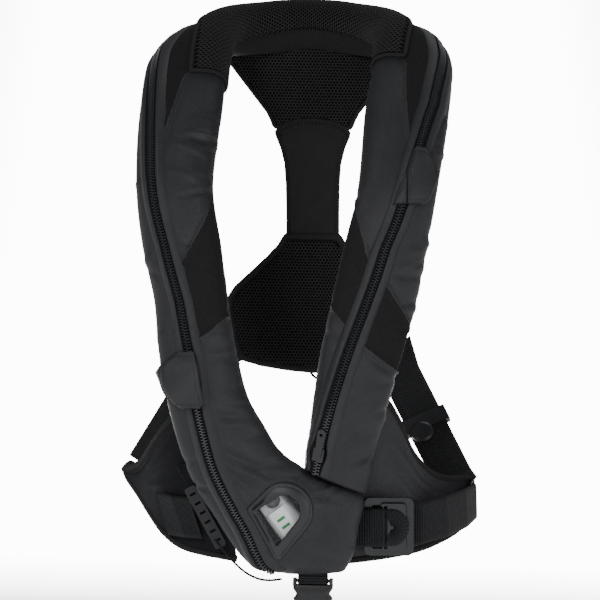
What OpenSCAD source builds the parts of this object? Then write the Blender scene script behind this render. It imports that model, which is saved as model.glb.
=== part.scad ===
// Inflatable life jacket: a folded twin-lobe bladder in a zipped cover, on a waist harness.
// The origin is on the wearer's centre line at shoulder height. +Z is up, the front faces -Y,
// and the wearer's left side is +X. All lengths are millimetres.

/* [Cover] */
// Thickness of the cover fabric
cover_wall = 1.6; // [1:0.1:2.2]
// Roundness of a lobe's cross-section, where 1 is an ellipse
plumpness = 0.8; // [0.7:0.05:1]
// Gap between the cover and the folded bladder
bladder_gap = 3; // [2:0.5:5]
// Thickness of the mesh lining of the collar
mesh_t = 2.2; // [1.5:0.1:3]

/* [Zips] */
// Width of a zip's closed chain
chain_w = 6.2; // [5:0.1:7]
// Thickness of a zip's closed chain
chain_t = 2.4; // [2:0.1:2.6]

/* [Webbing] */
// Width of the harness webbing
web_w = 40; // [35:1:42]
// Thickness of the harness webbing
web_t = 2.4; // [1.6:0.1:2.6]

/* [Inflator] */
// Radius of the gas cylinder
gas_r = 15; // [14:0.1:15]
// Length of the gas cylinder with its neck
gas_len = 133; // [110:1:134]
// Radius of the inflator's body
body_r = 15.5; // [15:0.1:15.6]
// Radius of the firing pin's bore
pin_bore_r = 3; // [2.5:0.1:3.4]
// Radial clearance of the turning and sliding fits
fit_gap = 0.05; // [0.02:0.01:0.1]

/* [Window] */
// Radius of the window's round side
window_r = 15.6; // [14:0.1:17]
// Radius of the bezel's round side
bezel_r = 28; // [26:0.5:30]
// Thickness of the bezel
bezel_t = 3; // [2:0.1:4]

/* [Buckles] */
// Width of the steel waist buckle
frame_w = 49; // [46:1:50]
// Height of the steel waist buckle
frame_h = 58; // [54:1:60]
// Thickness of the buckle's steel
steel_t = 4; // [3:0.1:4.5]
// Width of the crotch strap's side-release buckle
crotch_w = 40; // [36:1:42]

/* [Hidden] */
$fn = 48;

charcoal = [0.13, 0.13, 0.15];
softshell = [0.06, 0.06, 0.065];
mesh_black = [0.09, 0.09, 0.09];
webbing = [0.11, 0.11, 0.115];

// ---- Ribs of the horseshoe -------------------------------------------------
// A rib is [outer edge, inner edge, [half thickness, 0, 0]]. The ribs run from the flap at the
// bottom of the wearer's right lobe, up that lobe, round the neck and down the left lobe.
neck_half = [
    [[51, 85, 14], [38, 63, 59], [18, 0, 0]],
    [[116, 55, 14], [72, 36, 50], [20, 0, 0]],
    [[149, 10, 4], [75, 4, 22], [20, 0, 0]],
    [[155, -48, -34], [72, -52, -27], [20, 0, 0]],
    [[151, -98, -98], [73, -114, -97], [20, 0, 0]],
    [[142, -114, -158], [62, -138, -156], [20, 0, 0]]];
nape = [[[0, 96, 16], [0, 74, 61], [17, 0, 0]]];
left_low = [
    [[133, -122, -208], [52, -149, -206], [20, 0, 0]],
    [[121, -133, -258], [42, -157, -256], [20, 0, 0]],
    [[108, -144, -308], [35, -162, -305], [20, 0, 0]],
    [[96, -147, -352], [31, -163, -342], [19, 0, 0]],
    [[86, -149, -398], [29, -164, -373], [16, 0, 0]]];
right_low = [
    [[-128, -125, -212], [-54, -151, -206], [20, 0, 0]],
    [[-122, -139, -261], [-44, -159, -256], [20, 0, 0]],
    [[-113, -149, -306], [-31, -163, -303], [20.5, 0, 0]],
    [[-103, -153, -345], [-15, -162, -331], [20, 0, 0]],
    [[-92, -156, -376], [2, -161, -357], [19, 0, 0]]];
flap = [
    [[-79, -157, -402], [28, -159, -375], [19, 0, 0]],
    [[-64, -158, -424], [58, -158, -388], [19, 0, 0]],
    [[-50, -158, -446], [84, -158, -402], [19, 0, 0]],
    [[-37, -158, -463], [80, -158, -432], [18, 0, 0]],
    [[-23, -157, -474], [75, -157, -458], [15, 0, 0]],
    [[2, -156, -478], [66, -156, -475], [9, 0, 0]]];

function flip(rib) = [[-rib[0][0], rib[0][1], rib[0][2]], [-rib[1][0], rib[1][1], rib[1][2]], rib[2]];
function reverse(list) = [for (i = [len(list) - 1:-1:0]) list[i]];
stations = concat(reverse(flap), reverse(right_low), [for (r = reverse(neck_half)) flip(r)],
                  nape, neck_half, left_low);
per_station = 3;
flap_end = 0;
flap_start = per_station * len(flap);
right_shoulder = per_station * (len(flap) + len(right_low) + 3);
nape_rib = per_station * (len(flap) + len(right_low) + 6);
left_shoulder = nape_rib + per_station * 3;
left_end = nape_rib + per_station * 11;

function lerp(a, b, t) = a + (b - a) * t;
function unit(v) = v / norm(v);
function spow(v, p) = sign(v) * pow(abs(v), p);

// Smooth curve through every entry of a list of points or ribs
function curve_at(p, i, t) =
    let (a = p[max(i - 1, 0)], b = p[i], c = p[i + 1], d = p[min(i + 2, len(p) - 1)])
    0.5 * (2 * b + (c - a) * t + (2 * a - 5 * b + 4 * c - d) * t * t
           + (3 * b - a - 3 * c + d) * t * t * t);
function smooth(p, k) =
    [for (i = [0:len(p) - 2], j = [0:k - 1]) curve_at(p, i, j / k), p[len(p) - 1]];

ribs = smooth(stations, per_station);

function mid(rib) = (rib[0] + rib[1]) / 2;
function along(i) =
    unit(mid(ribs[min(i + 1, len(ribs) - 1)]) - mid(ribs[max(i - 1, 0)]));
function outward(i) = unit(cross(along(i), ribs[i][0] - ribs[i][1]));

// Point on rib i at angle a: 0 is the outer edge, 90 the front face, 180 the inner edge
function rib_point(i, a, offset) =
    let (m = mid(ribs[i]), h = (ribs[i][0] - ribs[i][1]) / 2)
    m + unit(h) * (norm(h) + offset) * spow(cos(a), plumpness)
      + outward(i) * (ribs[i][2][0] + offset) * spow(sin(a), plumpness);
// Angle of the point on the front face at share w of the half width, from the middle outwards
function face_angle(w) = acos(spow(w, 1 / plumpness));
ring_n = 24;
function ring(i, offset) = [for (k = [0:ring_n - 1]) rib_point(i, 360 * k / ring_n, offset)];

// ---- Lofting ----------------------------------------------------------------
function side_faces(m, n, base, inward) =
    [for (j = [0:m - 2], k = [0:n - 1])
        let (a = base + j * n + k, b = base + j * n + (k + 1) % n, c = b + n, d = a + n)
        each inward ? [[a, b, c], [a, c, d]] : [[a, c, b], [a, d, c]]];

// Solid through closed rings of equal length
module loft(rings) {
    n = len(rings[0]);
    m = len(rings);
    polyhedron(points = [for (r = rings) each r],
               faces = concat([[for (k = [0:n - 1]) k]],
                              side_faces(m, n, 0, false),
                              [[for (k = [n - 1:-1:0]) (m - 1) * n + k]]));
}

// Hollow cover over ribs first..last, closed at the first or the last rib if asked
module cover(first, last, close_first = false, close_last = false) {
    outside = [for (i = [first:last]) ring(i, 0)];
    m = len(outside);
    near = close_first ? -along(first) * cover_wall : [0, 0, 0];
    far = close_last ? along(last) * cover_wall : [0, 0, 0];
    inside = [for (i = [first:last])
        [for (p = ring(i, -cover_wall)) p - (i == first ? near : i == last ? far : [0, 0, 0])]];
    n = ring_n;
    base = m * n;
    points = concat([for (r = outside) each r], [for (r = inside) each r]);
    start = close_first
        ? [[for (k = [0:n - 1]) k], [for (k = [n - 1:-1:0]) base + k]]
        : [for (k = [0:n - 1]) let (q = (k + 1) % n) each [[k, q, base + q], [k, base + q, base + k]]];
    o = (m - 1) * n;
    end = close_last
        ? [[for (k = [n - 1:-1:0]) o + k], [for (k = [0:n - 1]) base + o + k]]
        : [for (k = [0:n - 1]) let (q = (k + 1) % n)
            each [[o + k, base + o + q, o + q], [o + k, base + o + k, base + o + q]]];
    polyhedron(points = points,
               faces = concat(side_faces(m, n, 0, false), side_faces(m, n, base, true), start, end));
}

// Sheet that follows the ribs' surface between two angles
module sheet(first, last, a0, a1, steps, lift, thick) {
    loft([for (i = [first:last]) concat(
        [for (k = [0:steps]) rib_point(i, lerp(a0, a1, k / steps), lift + thick)],
        [for (k = [steps:-1:0]) rib_point(i, lerp(a0, a1, k / steps), lift)])]);
}

// Flat band whose ribs are [one edge, other edge]
function band_ring(list, i, t) =
    let (a = list[max(i - 1, 0)], b = list[min(i + 1, len(list) - 1)], h = list[i][0] - list[i][1],
         up = unit(cross(b[0] + b[1] - a[0] - a[1], h)) * t / 2)
    [list[i][0] + up, list[i][1] + up, list[i][1] - up, list[i][0] - up];
module band(list, t) {
    loft([for (i = [0:len(list) - 1]) band_ring(list, i, t)]);
}

// Round tube along a route
function tube_ring(route, i, r, n) =
    let (t = unit(route[min(i + 1, len(route) - 1)] - route[max(i - 1, 0)]),
         side = unit(cross(t, abs(t[1]) < 0.9 ? [0, 1, 0] : [1, 0, 0])), up = cross(t, side))
    [for (k = [0:n - 1]) route[i] + r * (side * cos(360 * k / n) + up * sin(360 * k / n))];
module tube(route, r, n = 8) {
    loft([for (i = [0:len(route) - 1]) tube_ring(route, i, r, n)]);
}

// Children's XY plane moved to a point, with its X along x and its Y as near y as it can be
module facing(origin, x, y) {
    ux = unit(x);
    uz = unit(cross(ux, y));
    uy = cross(uz, ux);
    multmatrix([[ux[0], uy[0], uz[0], origin[0]], [ux[1], uy[1], uz[1], origin[1]],
                [ux[2], uy[2], uz[2], origin[2]], [0, 0, 0, 1]]) children();
}

// Plate in the XZ plane between two depths, the first nearer the wearer
module plate_y(back, front) {
    translate([0, back, 0]) rotate([90, 0, 0]) linear_extrude(back - front) children();
}
module rounded(w, h, r) {
    hull() for (x = [-1, 1], y = [-1, 1])
        translate([x * (w / 2 - r), y * (h / 2 - r)]) circle(r, $fn = 24);
}

// ---- Covers and bladder -------------------------------------------------------
module collar_cover() color(softshell) cover(right_shoulder, left_shoulder);
module left_lobe_cover() color(charcoal) cover(left_shoulder, left_end, close_last = true);
module right_lobe_cover() color(charcoal) cover(flap_start, right_shoulder);
module inflator_cover() color(charcoal) difference() {
    cover(flap_end, flap_start, close_first = true);
    plate_y(-165, -185) window_outline(4);
}
bladder_first = flap_start + per_station * 2.67;
bladder_last = left_end - per_station * 2.67;
module folded_bladder() color("gold")
    loft([for (i = [bladder_first:bladder_last]) ring(i, -cover_wall - bladder_gap)]);

mesh_from = 105;
mesh_to = 255;
module collar_mesh() color(mesh_black)
    sheet(right_shoulder - 2, left_shoulder + 2, mesh_from, mesh_to, 10, 0.9, mesh_t);

// ---- Zips --------------------------------------------------------------------
// Share of the half width at which each zip crosses a station's face, from -1 at the inner edge
// to 1 at the outer edge. The right table runs from the flap up to the nape, the left one down.
right_zip_share = [0.8, 0.74, 0.7, 0.68, 0.62, 0.5, 0.38, 0.26, 0.12, 0, 0.04, 0.2, 0.44,
    0.62, 0.72, 0.6, 0.4, 0.2];
left_zip_share = [0.2, 0.4, 0.6, 0.68, 0.62, 0.26, -0.08, -0.25, -0.4, -0.54, -0.66, -0.74];
chain_lift = 1.6;

function zip_share(table, k) =
    let (i = min(floor(k), len(table) - 2)) lerp(table[i], table[i + 1], k - i);
function share_at(i) = i <= nape_rib ? zip_share(right_zip_share, i / per_station)
                                     : zip_share(left_zip_share, (i - nape_rib) / per_station);
// Frame of a zip at rib i: a point on the cover, the way across the chain, and the way out
function zip_place(i) = rib_point(i, face_angle(share_at(i)), 0);
function zip_run(i) = unit(zip_place(min(i + 1, left_end)) - zip_place(max(i - 1, 1)));
function zip_out(i) =
    let (w = share_at(i), d = rib_point(i, face_angle(w + 0.05), 0)
                              - rib_point(i, face_angle(w - 0.05), 0))
    unit(cross(zip_run(i), d));
function zip_ring(i, half_w, low, high) =
    let (p = zip_place(i), n = zip_out(i), s = cross(n, zip_run(i)))
    [p - s * half_w + n * high, p - s * half_w + n * low,
     p + s * half_w + n * low, p + s * half_w + n * high];
module zip(first, last) {
    loft([for (i = [first:last]) zip_ring(i, chain_w / 2, chain_lift, chain_lift + chain_t)]);
}
module right_zip() color("dimgray") zip(2, nape_rib);
module left_zip() color("dimgray") zip(nape_rib, left_end);

// ---- Window --------------------------------------------------------------------
window_c = [9, -413];
window_left = [-17, -414];
window_low = [1, -447];
bezel_left = [-25, -413];
bezel_low = [1.5, -458];
module window_outline(grow) hull() {
    translate(window_c) circle(window_r + grow, $fn = 48);
    translate(window_left) circle(1.2 + grow, $fn = 24);
    translate(window_low) circle(1.2 + grow, $fn = 24);
}
module bezel_outline() hull() {
    translate(window_c) circle(bezel_r, $fn = 48);
    translate(bezel_left) circle(4, $fn = 24);
    translate(bezel_low) circle(5, $fn = 24);
}
bezel_back = -178.1;
module window_bezel() color(softshell) difference() {
    plate_y(bezel_back, bezel_back - bezel_t) bezel_outline();
    plate_y(-170, -190) window_outline(0);
}
module window_lens() color([0.85, 0.9, 0.95, 0.35])
    plate_y(bezel_back + 1.2, bezel_back) window_outline(3);

// ---- Zip sliders and tabs --------------------------------------------------------
slider_gap = 0.8;
slider_l = 13;
slider_w = chain_w + 5;
// A slider's own frame: X across the chain, Y along it towards the nape, Z out of the cover
module at_zip(i) {
    way = i > nape_rib ? 1 : -1;
    facing(zip_place(i), cross(zip_out(i), zip_run(i)) * way, zip_run(i) * -way) children();
}
module slider_shape() {
    top = chain_lift + chain_t + slider_gap;
    difference() {
        translate([-slider_w / 2, -slider_l / 2, 0.4]) cube([slider_w, slider_l, top + 0.6]);
        translate([-chain_w / 2 - slider_gap, -slider_l, chain_lift - slider_gap])
            cube([chain_w + 2 * slider_gap, 2 * slider_l, chain_t + 2 * slider_gap]);
        translate([-slider_w, -slider_l, chain_lift + 0.6]) cube([2 * slider_w, 2 * slider_l, 1.2]);
    }
    translate([0, 0, top + 1]) difference() {
        linear_extrude(1.4) hull() {
            circle(3.2);
            translate([0, 22]) circle(4.4);
        }
        translate([0, 21, -1]) cylinder(h = 4, r = 2);
    }
}
left_slider_rib = left_end - 2;
right_slider_rib = per_station * 8 + 1;
module left_zip_slider() color("silver") at_zip(left_slider_rib) slider_shape();
module right_zip_slider() color("silver") at_zip(right_slider_rib) slider_shape();

// Fabric tabs that close over the zips, each hinged on a rolled edge
tab_t = 1.6;
hem_r = 1.2;
module tab(i, hinge_share, free_share, long, lift) {
    hinge = rib_point(i, face_angle(hinge_share), lift);
    free = rib_point(i, face_angle(free_share), lift);
    run = rib_point(i + 1, face_angle(hinge_share), lift)
          - rib_point(i - 1, face_angle(hinge_share), lift);
    facing(hinge, free - hinge, run) {
        rotate([90, 0, 0]) cylinder(h = long, r = hem_r, center = true);
        translate([0, -long / 2, -tab_t / 2]) cube([norm(free - hinge), long, tab_t]);
    }
}
module left_zip_tab() color(charcoal) tab(left_shoulder + 6, 0.17, 0.8, 50, 6.6);
module right_zip_tab() color(charcoal) tab(per_station * 8 + 1, 0.7, -0.14, 44, 11.2);

// ---- Inflator ----------------------------------------------------------------------
// The inflator's own frame: Z along the gas cylinder, up to the wearer's right, front at -Y
inflator_c = [0, -157, -417];
inflator_lean = -37;
module at_inflator() translate(inflator_c) rotate([0, inflator_lean, 0]) children();

body_low = -30;
body_high = 22;
face_y = -13;
step_y = -9.6;
knob_x = 3.7;
knob_z = 12.6;
knob_r = 7.3;
hinge_r = 2;
neck_r = 8;
neck_z = 10;
cap_bore_r = 10;

module inflator_body() color("white") at_inflator() difference() {
    intersection() {
        translate([0, 0, body_low]) cylinder(h = body_high - body_low, r = body_r);
        translate([-20, face_y, body_low]) cube([40, -2 * face_y, body_high - body_low]);
    }
    translate([-20, -20, 3]) cube([40, 20 + step_y, 40]);
    translate([0, 0, neck_z]) cylinder(h = 20, r = neck_r);
    translate([knob_x, step_y - 1, knob_z]) rotate([-90, 0, 0]) cylinder(h = 3, r = hinge_r);
    translate([0, 0, -20]) cylinder(h = 40, r = pin_bore_r);
    translate([0, 0, body_low - 1]) cylinder(h = 1 - body_low - 8, r = cap_bore_r);
}
module status_strips() color("limegreen") at_inflator()
    for (z = [-7.2, -15.5]) translate([-5, face_y - 0.3, z - 1.4]) cube([9, 0.3, 2.8]);

module firing_lever() color("gray") at_inflator() {
    translate([knob_x, step_y - 0.3, knob_z]) rotate([90, 0, 0]) cylinder(h = 4.6, r = knob_r);
    translate([knob_x, step_y - 0.5, knob_z]) rotate([-90, 0, 0])
        cylinder(h = 2.3, r = hinge_r - fit_gap);
    translate([knob_x - 3.5, step_y - 3.6, knob_z]) difference() {
        cube([7, 3.2, 15]);
        translate([3.5, 5, 11.6]) rotate([90, 0, 0]) cylinder(h = 10, r = 1.6);
    }
}
module firing_pin() color("silver") at_inflator() {
    translate([0, 0, -20]) cylinder(h = 24, r = pin_bore_r - fit_gap);
    translate([0, 0, 4]) cylinder(h = 3, r1 = pin_bore_r - fit_gap, r2 = 0.6);
}
spring_r = 6;
spring_wire = 0.8;
spring_turns = 4;
module firing_spring() color("silver") at_inflator()
    tube([for (k = [0:12 * spring_turns])
        [spring_r * cos(30 * k), spring_r * sin(30 * k), -18.6 + 9.4 * k / (12 * spring_turns)]],
        spring_wire, 6);
module water_cartridge() color("gold") at_inflator() translate([0, 0, -28]) difference() {
    cylinder(h = 6, r = 8.4);
    for (a = [0:60:300]) rotate([0, 0, a]) translate([5.6, 0, -1]) cylinder(h = 8, r = 1.3);
}
cap_ridges = 18;
module sensor_cap() color("dimgray") at_inflator() difference() {
    union() {
        translate([0, 0, body_low - 13]) cylinder(h = 12.7, r = 13);
        translate([0, 0, body_low - 1]) cylinder(h = 6, r = cap_bore_r - fit_gap);
        for (a = [0:360 / cap_ridges:359]) rotate([0, 0, a])
            translate([13, 0, body_low - 11]) cylinder(h = 8, r = 0.8, $fn = 16);
    }
    translate([0, 0, body_low - 9]) cylinder(h = 20, r = 8.7);
    for (a = [0:90:270]) rotate([0, 0, a]) translate([5, 0, body_low - 14]) cylinder(h = 8, r = 1.5);
}
// Gas cylinder: neck, shoulder, barrel and domed end
module gas_cylinder() color("slategray") at_inflator() translate([0, 0, neck_z + 1])
    rotate_extrude() polygon(concat(
        [[0, 0], [neck_r - fit_gap, 0], [neck_r - fit_gap, 16]],
        [for (a = [0:15:90]) [neck_r + (gas_r - neck_r) * sin(a), 28 - 10 * cos(a)]],
        [for (a = [0:15:90]) [gas_r * cos(a), gas_len - 9 + 9 * sin(a)]]));
module bladder_manifold() color("dimgray") at_inflator() difference() {
    union() {
        translate([0, 14.8, -1]) rotate([90, 0, 0]) cylinder(h = 1.2, r = 17);
        translate([-8, -face_y, -11]) cube([16, 0.8, 20]);
    }
    translate([0, 20, -1]) rotate([90, 0, 0]) cylinder(h = 8, r = 2.5);
}

// Pull handle behind the right lobe, in a fabric sleeve on the wing's inner face
pull_x = -58;
pull_y = -119.4;
pull_z = -416;
module pull_toggle() color("firebrick") translate([pull_x, pull_y, pull_z]) {
    translate([-14, 0, -18]) rotate([0, 90, 0]) cylinder(h = 28, r = 4.2);
    translate([0, 0, -14.2]) cylinder(h = 60, r = 1.5);
}
module toggle_sleeve() color(charcoal) translate([pull_x, pull_y, pull_z]) difference() {
    translate([-7, -8, 2]) cube([14, 11, 50]);
    translate([0, 0, -1]) cylinder(h = 60, r = 1.8);
}
// Thin cord along the right lobe's lower edge
edge_cord_route = [[-66, -149, -448], [-54, -147, -463], [-44, -146, -474], [-34, -146, -482],
                   [-22, -148, -487], [-10, -150, -488], [2, -152, -486]];
module edge_cord() color("black") tube(smooth(edge_cord_route, 3), 1.2);

// ---- Mouth inflation, whistle and lifting loop, stowed in the left lobe ----------------
tube_r = 7;
tube_top = [82, -147, -286];
tube_low = [72, -153, -342];
tube_len = norm(tube_top - tube_low);
module along_tube() {
    axis = unit(tube_top - tube_low);
    facing(tube_low, cross([0, 1, 0], axis), cross(axis, cross([0, 1, 0], axis))) children();
}
module oral_tube() color("dimgray") along_tube() difference() {
    cylinder(h = tube_len, r = tube_r);
    translate([0, 0, -1]) cylinder(h = tube_len + 2, r = tube_r - 1.6);
}
module oral_valve() color("gold") along_tube() translate([0, 0, 2]) {
    cylinder(h = 3, r = tube_r - 1.6);
    translate([0, 0, 3]) cylinder(h = 10, r = 1.5);
}
module oral_cap() color("firebrick") along_tube() difference() {
    translate([0, 0, -4]) cylinder(h = 14, r = tube_r + 2);
    translate([0, 0, -0.1]) cylinder(h = 20, r = tube_r + fit_gap);
}
whistle_c = [48, -156, -318];
module whistle() color("orange") translate(whistle_c) difference() {
    union() {
        translate([-4.5, -6, -24]) cube([9, 12, 42]);
        translate([0, 0, 18]) rotate([90, 0, 0]) translate([0, 0, -6]) cylinder(h = 12, r = 4.5);
    }
    translate([-2.5, -4.5, -30]) cube([5, 9, 36]);
    translate([-6, -3, -8]) cube([5, 6, 4]);
    translate([0, 10, 19]) rotate([90, 0, 0]) cylinder(h = 20, r = 1.8);
}
loop_c = [60, -154, -367];
module lifting_loop() color("khaki") translate(loop_c) rotate([90, 0, 0])
    linear_extrude(8, center = true) difference() {
        rounded(34, 15, 7);
        rounded(30, 11, 5);
    }

// ---- Back panel ---------------------------------------------------------------------------
back_y = 88;
panel_t = 6;
spine_top = -56;
spine_low = -175;
pad_low = -309;
// Half outlines are mirrored; the yoke narrows from the collar, the pad widens below the spine
function both(half) = concat(half, [for (p = reverse(half)) [-p[0], p[1]]]);
yoke_half = [[0, 11], [83, 6], [82, 0], [45, -48], [41, -56], [38.5, -63],
             for (a = [30:15:90]) [38 * cos(a), -72 + 16 * sin(a)]];
spine_half = [for (a = [90:-15:15]) [38 * cos(a), -72.3 + 16 * sin(a)], [36, -72], [31, -84],
              [27, -100], [25.5, -120], [25, -148], [25, -174.7], [0, -174.7]];
pad_half = [[0, -175], [25.5, -175], [32, -186], [44, -199], [62, -216], [76, -229], [82, -238],
            [83, -248], [81, -262], [78, -280], [75, -292], [70, -298], [52, -303], [25, -307],
            [0, pad_low]];
module back_plate(half, t) {
    translate([0, back_y, 0]) rotate([90, 0, 0]) linear_extrude(t) polygon(both(half));
}
module back_yoke() color(mesh_black) back_plate(yoke_half, panel_t);
module spine_panel() color(softshell) back_plate(spine_half, panel_t);
module lumbar_pad() color(mesh_black) back_plate(pad_half, panel_t + 2);
back_loop_route = [[-2, 84, -310.6], [-1, 83.5, -314], [4, 83, -318], [12, 83, -319.5], [20, 83, -318],
                   [25, 84, -313], [25.5, 84.5, -308.6]];
module back_loop() color("black") tube(smooth(back_loop_route, 3), 1.3);

// ---- Waist webbing ---------------------------------------------------------------------------
// Each rib of a band is [upper edge, lower edge]
slider_top = [92, 68, -310];
slider_low = [154, -4, -402];
slider_run = unit(slider_low - slider_top);
slider_side = unit([0.89, 0.28, 0.36] - slider_run * (slider_run * [0.89, 0.28, 0.36]));
function cross_web(c, w) = [c + w * web_w / 2, c - w * web_w / 2];
belt_back_ribs = [cross_web([-84, 90.5, -286], [-0.3, 0, 0.954]), cross_web([-50, 91, -276], [0, 0, 1]),
                  cross_web([0, 91, -272], [0, 0, 1]), cross_web([50, 91, -276], [0, 0, 1]),
                  cross_web([84, 90.5, -286], [0.3, 0, 0.954])];
belt_left_ribs = [cross_web([86, 89, -290], unit([0.6, 0.1, 0.8])),
                  for (t = [0, 0.12, 0.88, 1]) cross_web(lerp(slider_top, slider_low, t), slider_side),
                  cross_web([165, -24, -411], unit([0.75, 0.3, 0.55])),
                  cross_web([171, -44, -419], unit([0.35, 0.1, 0.9]))];
right_side = unit([-0.846, -0.06, 0.53]);
belt_right_ribs = [cross_web([-86, 89, -290], unit([-0.6, 0.1, 0.8])),
                   cross_web([-127, 61, -343], right_side), cross_web([-155, -13, -396], right_side)];
module belt_back() color(webbing) band(belt_back_ribs, web_t);
module belt_left() color(webbing) band(belt_left_ribs, web_t);
module belt_right() color(webbing) band(belt_right_ribs, web_t);
module belt_left_front() color(webbing) band([
    [[94, -128, -410], [94, -128, -455]], [[112, -124, -412], [112, -124, -456]],
    [[136, -110, -413], [136, -112, -455]], [[158, -90, -409], [160, -90, -450]],
    [[174, -65, -405], [176, -63, -444]], [[182, -42, -403], [183, -42, -438]]], web_t);
module belt_right_front() color(webbing) band([
    [[-94, -131, -409], [-80, -134.5, -450]], [[-114, -122.5, -409], [-98, -130.5, -450]],
    [[-131, -107.5, -408], [-117, -120.5, -449]]], web_t);

// ---- Side wings -------------------------------------------------------------------------------
wing_t = 4;
module right_wing() color(charcoal) band(smooth([
    [[-70, -130, -318], [-46, -132, -470]], [[-100, -124, -322], [-96, -124, -462]],
    [[-120, -110, -340], [-122, -106, -450]], [[-139, -84, -365], [-142, -76, -434]],
    [[-156, -52, -388], [-158, -46, -420]], [[-176, -24, -398], [-173, -22, -408]]], 2), wing_t);
module left_wing() color(charcoal) band(smooth([
    [[70, -130, -300], [62, -131, -470]], [[100, -122, -306], [98, -122, -466]],
    [[118, -108, -330], [130, -106, -461]], [[130, -90, -364], [152, -84, -454]],
    [[150, -64, -390], [168, -58, -445]], [[176, -28, -400], [179, -30, -428]]], 2), wing_t);

// ---- Slider and stud on the left webbing --------------------------------------------------------
slider_at = lerp(slider_top, slider_low, 0.47);
slider_len = 17;
module on_belt(shift) facing(slider_at + slider_run * shift, slider_side, slider_run) children();
module belt_slider() color("black") on_belt(0) difference() {
    translate([-web_w / 2 - 4, -slider_len / 2, -web_t / 2 - 3])
        cube([web_w + 8, slider_len, web_t + 6]);
    translate([-web_w / 2 - 0.5, -slider_len, -web_t / 2 - 0.4])
        cube([web_w + 1, 2 * slider_len, web_t + 0.8]);
}
module slider_stud() color("black") on_belt(0) translate([-8, slider_len / 2 + 4, -web_t / 2]) {
    translate([0, 0, -5.4]) cylinder(h = 2.4, r = 11.5);
    translate([0, 0, -6.6]) cylinder(h = 1.2, r1 = 9, r2 = 11.5);
}

// ---- Waist buckle ---------------------------------------------------------------------------------
buckle_c = [107, -133, -434];
buckle_turn = 8;
rail = 7;
module at_buckle() translate(buckle_c) rotate([0, 0, buckle_turn]) children();
module buckle_frame() color("silver") at_buckle() plate_y(steel_t / 2, -steel_t / 2) difference() {
    rounded(frame_w, frame_h, 6);
    rounded(frame_w - 2 * rail, frame_h - 2 * rail, 2.5);
}
hook_w = 26;
hook_h = 48;
hook_bar_r = 1.3;
loop_t = 2;
loop_r = hook_bar_r + 0.3 + loop_t;
hook_at = [-6, -steel_t / 2 - 0.3 - loop_r, 0];
module buckle_hook() color("silver") at_buckle() translate(hook_at) {
    translate([0, 0, -hook_h / 2]) cylinder(h = hook_h, r = hook_bar_r);
    plate_y(1.2, -1.2) difference() {
        translate([10, 0]) rounded(hook_w, hook_h, 4);
        square([9, web_w + 3], center = true);
        translate([13, 0]) square([4, 30], center = true);
    }
}
strap_h = 38;
strap_l = 24;
module buckle_strap() color(webbing) at_buckle() translate(hook_at - [0, 0, strap_h / 2])
    linear_extrude(strap_h) difference() {
        hull() for (x = [-strap_l, 0]) translate([x, 0]) circle(loop_r, $fn = 32);
        hull() for (x = [-strap_l, 0]) translate([x, 0]) circle(loop_r - loop_t, $fn = 32);
    }

// ---- Grip on the right wing -------------------------------------------------------------------------
grip_l = 68;
grip_w = 12;
grip_slots = 6;
module belt_grip() color("dimgray") facing([-77, -137, -428], [0.82, 0.2, 0.45], [-0.48, 0.1, 0.87])
    linear_extrude(2.4) difference() {
        rounded(grip_w, grip_l, 3);
        for (k = [0:grip_slots - 1]) translate([0, (k - (grip_slots - 1) / 2) * 10.4])
            rounded(6.6, 2.4, 1.1);
    }

// ---- Crotch strap buckle --------------------------------------------------------------------------------
crotch_c = [34, -156, -486.5];
crotch_h = 15;
crotch_t = 11;
crotch_web_w = 30;
module crotch_web() color(webbing) translate(crotch_c) rotate([0, 90, 0])
    linear_extrude(crotch_web_w, center = true) difference() {
        hull() {
            circle(4, $fn = 32);
            translate([-4.9, 0]) circle(2.4, $fn = 32);
        }
        circle(2.1, $fn = 32);
    }
module crotch_buckle() color("black") translate(crotch_c) {
    rotate([0, 90, 0]) translate([0, 0, -crotch_w / 2]) cylinder(h = crotch_w, r = 1.8);
    for (x = [-1, 1]) translate([x * (crotch_w / 2 - 1.8) - 1.8, -crotch_t / 2, -5])
        cube([3.6, crotch_t, 7.5]);
    translate([0, 0, -5]) difference() {
        translate([-crotch_w / 2, -crotch_t / 2, -crotch_h]) cube([crotch_w, crotch_t, crotch_h]);
        translate([-15, -3.5, -crotch_h - 1]) cube([30, 7, crotch_h - 2]);
        for (x = [-1, 1]) translate([x * (crotch_w / 2 + 1), 0, -crotch_h / 2]) rotate([90, 0, 0])
            cylinder(h = 20, r = 4, center = true);
    }
}

collar_cover();
collar_mesh();
left_lobe_cover();
right_lobe_cover();
inflator_cover();
folded_bladder();
left_zip();
right_zip();
left_zip_slider();
right_zip_slider();
left_zip_tab();
right_zip_tab();
window_bezel();
window_lens();
inflator_body();
status_strips();
firing_lever();
firing_pin();
firing_spring();
water_cartridge();
sensor_cap();
gas_cylinder();
bladder_manifold();
pull_toggle();
toggle_sleeve();
edge_cord();
oral_tube();
oral_valve();
oral_cap();
whistle();
lifting_loop();
back_yoke();
spine_panel();
lumbar_pad();
belt_back();
belt_left();
belt_right();
belt_left_front();
belt_right_front();
left_wing();
right_wing();
belt_slider();
slider_stud();
buckle_strap();
buckle_frame();
buckle_hook();
belt_grip();
crotch_web();
crotch_buckle();
back_loop();
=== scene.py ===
"""Looks of the inflatable life jacket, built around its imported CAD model.

Lengths below are millimetres in the row frame (+X the wearer's left, -Y the front, +Z up),
unless a name or a comment says otherwise. MM turns them into Blender's metres.
"""

import math

import bpy
import numpy as np
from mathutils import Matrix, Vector
from mathutils.bvhtree import BVHTree
from mathutils.geometry import delaunay_2d_cdt


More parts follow.
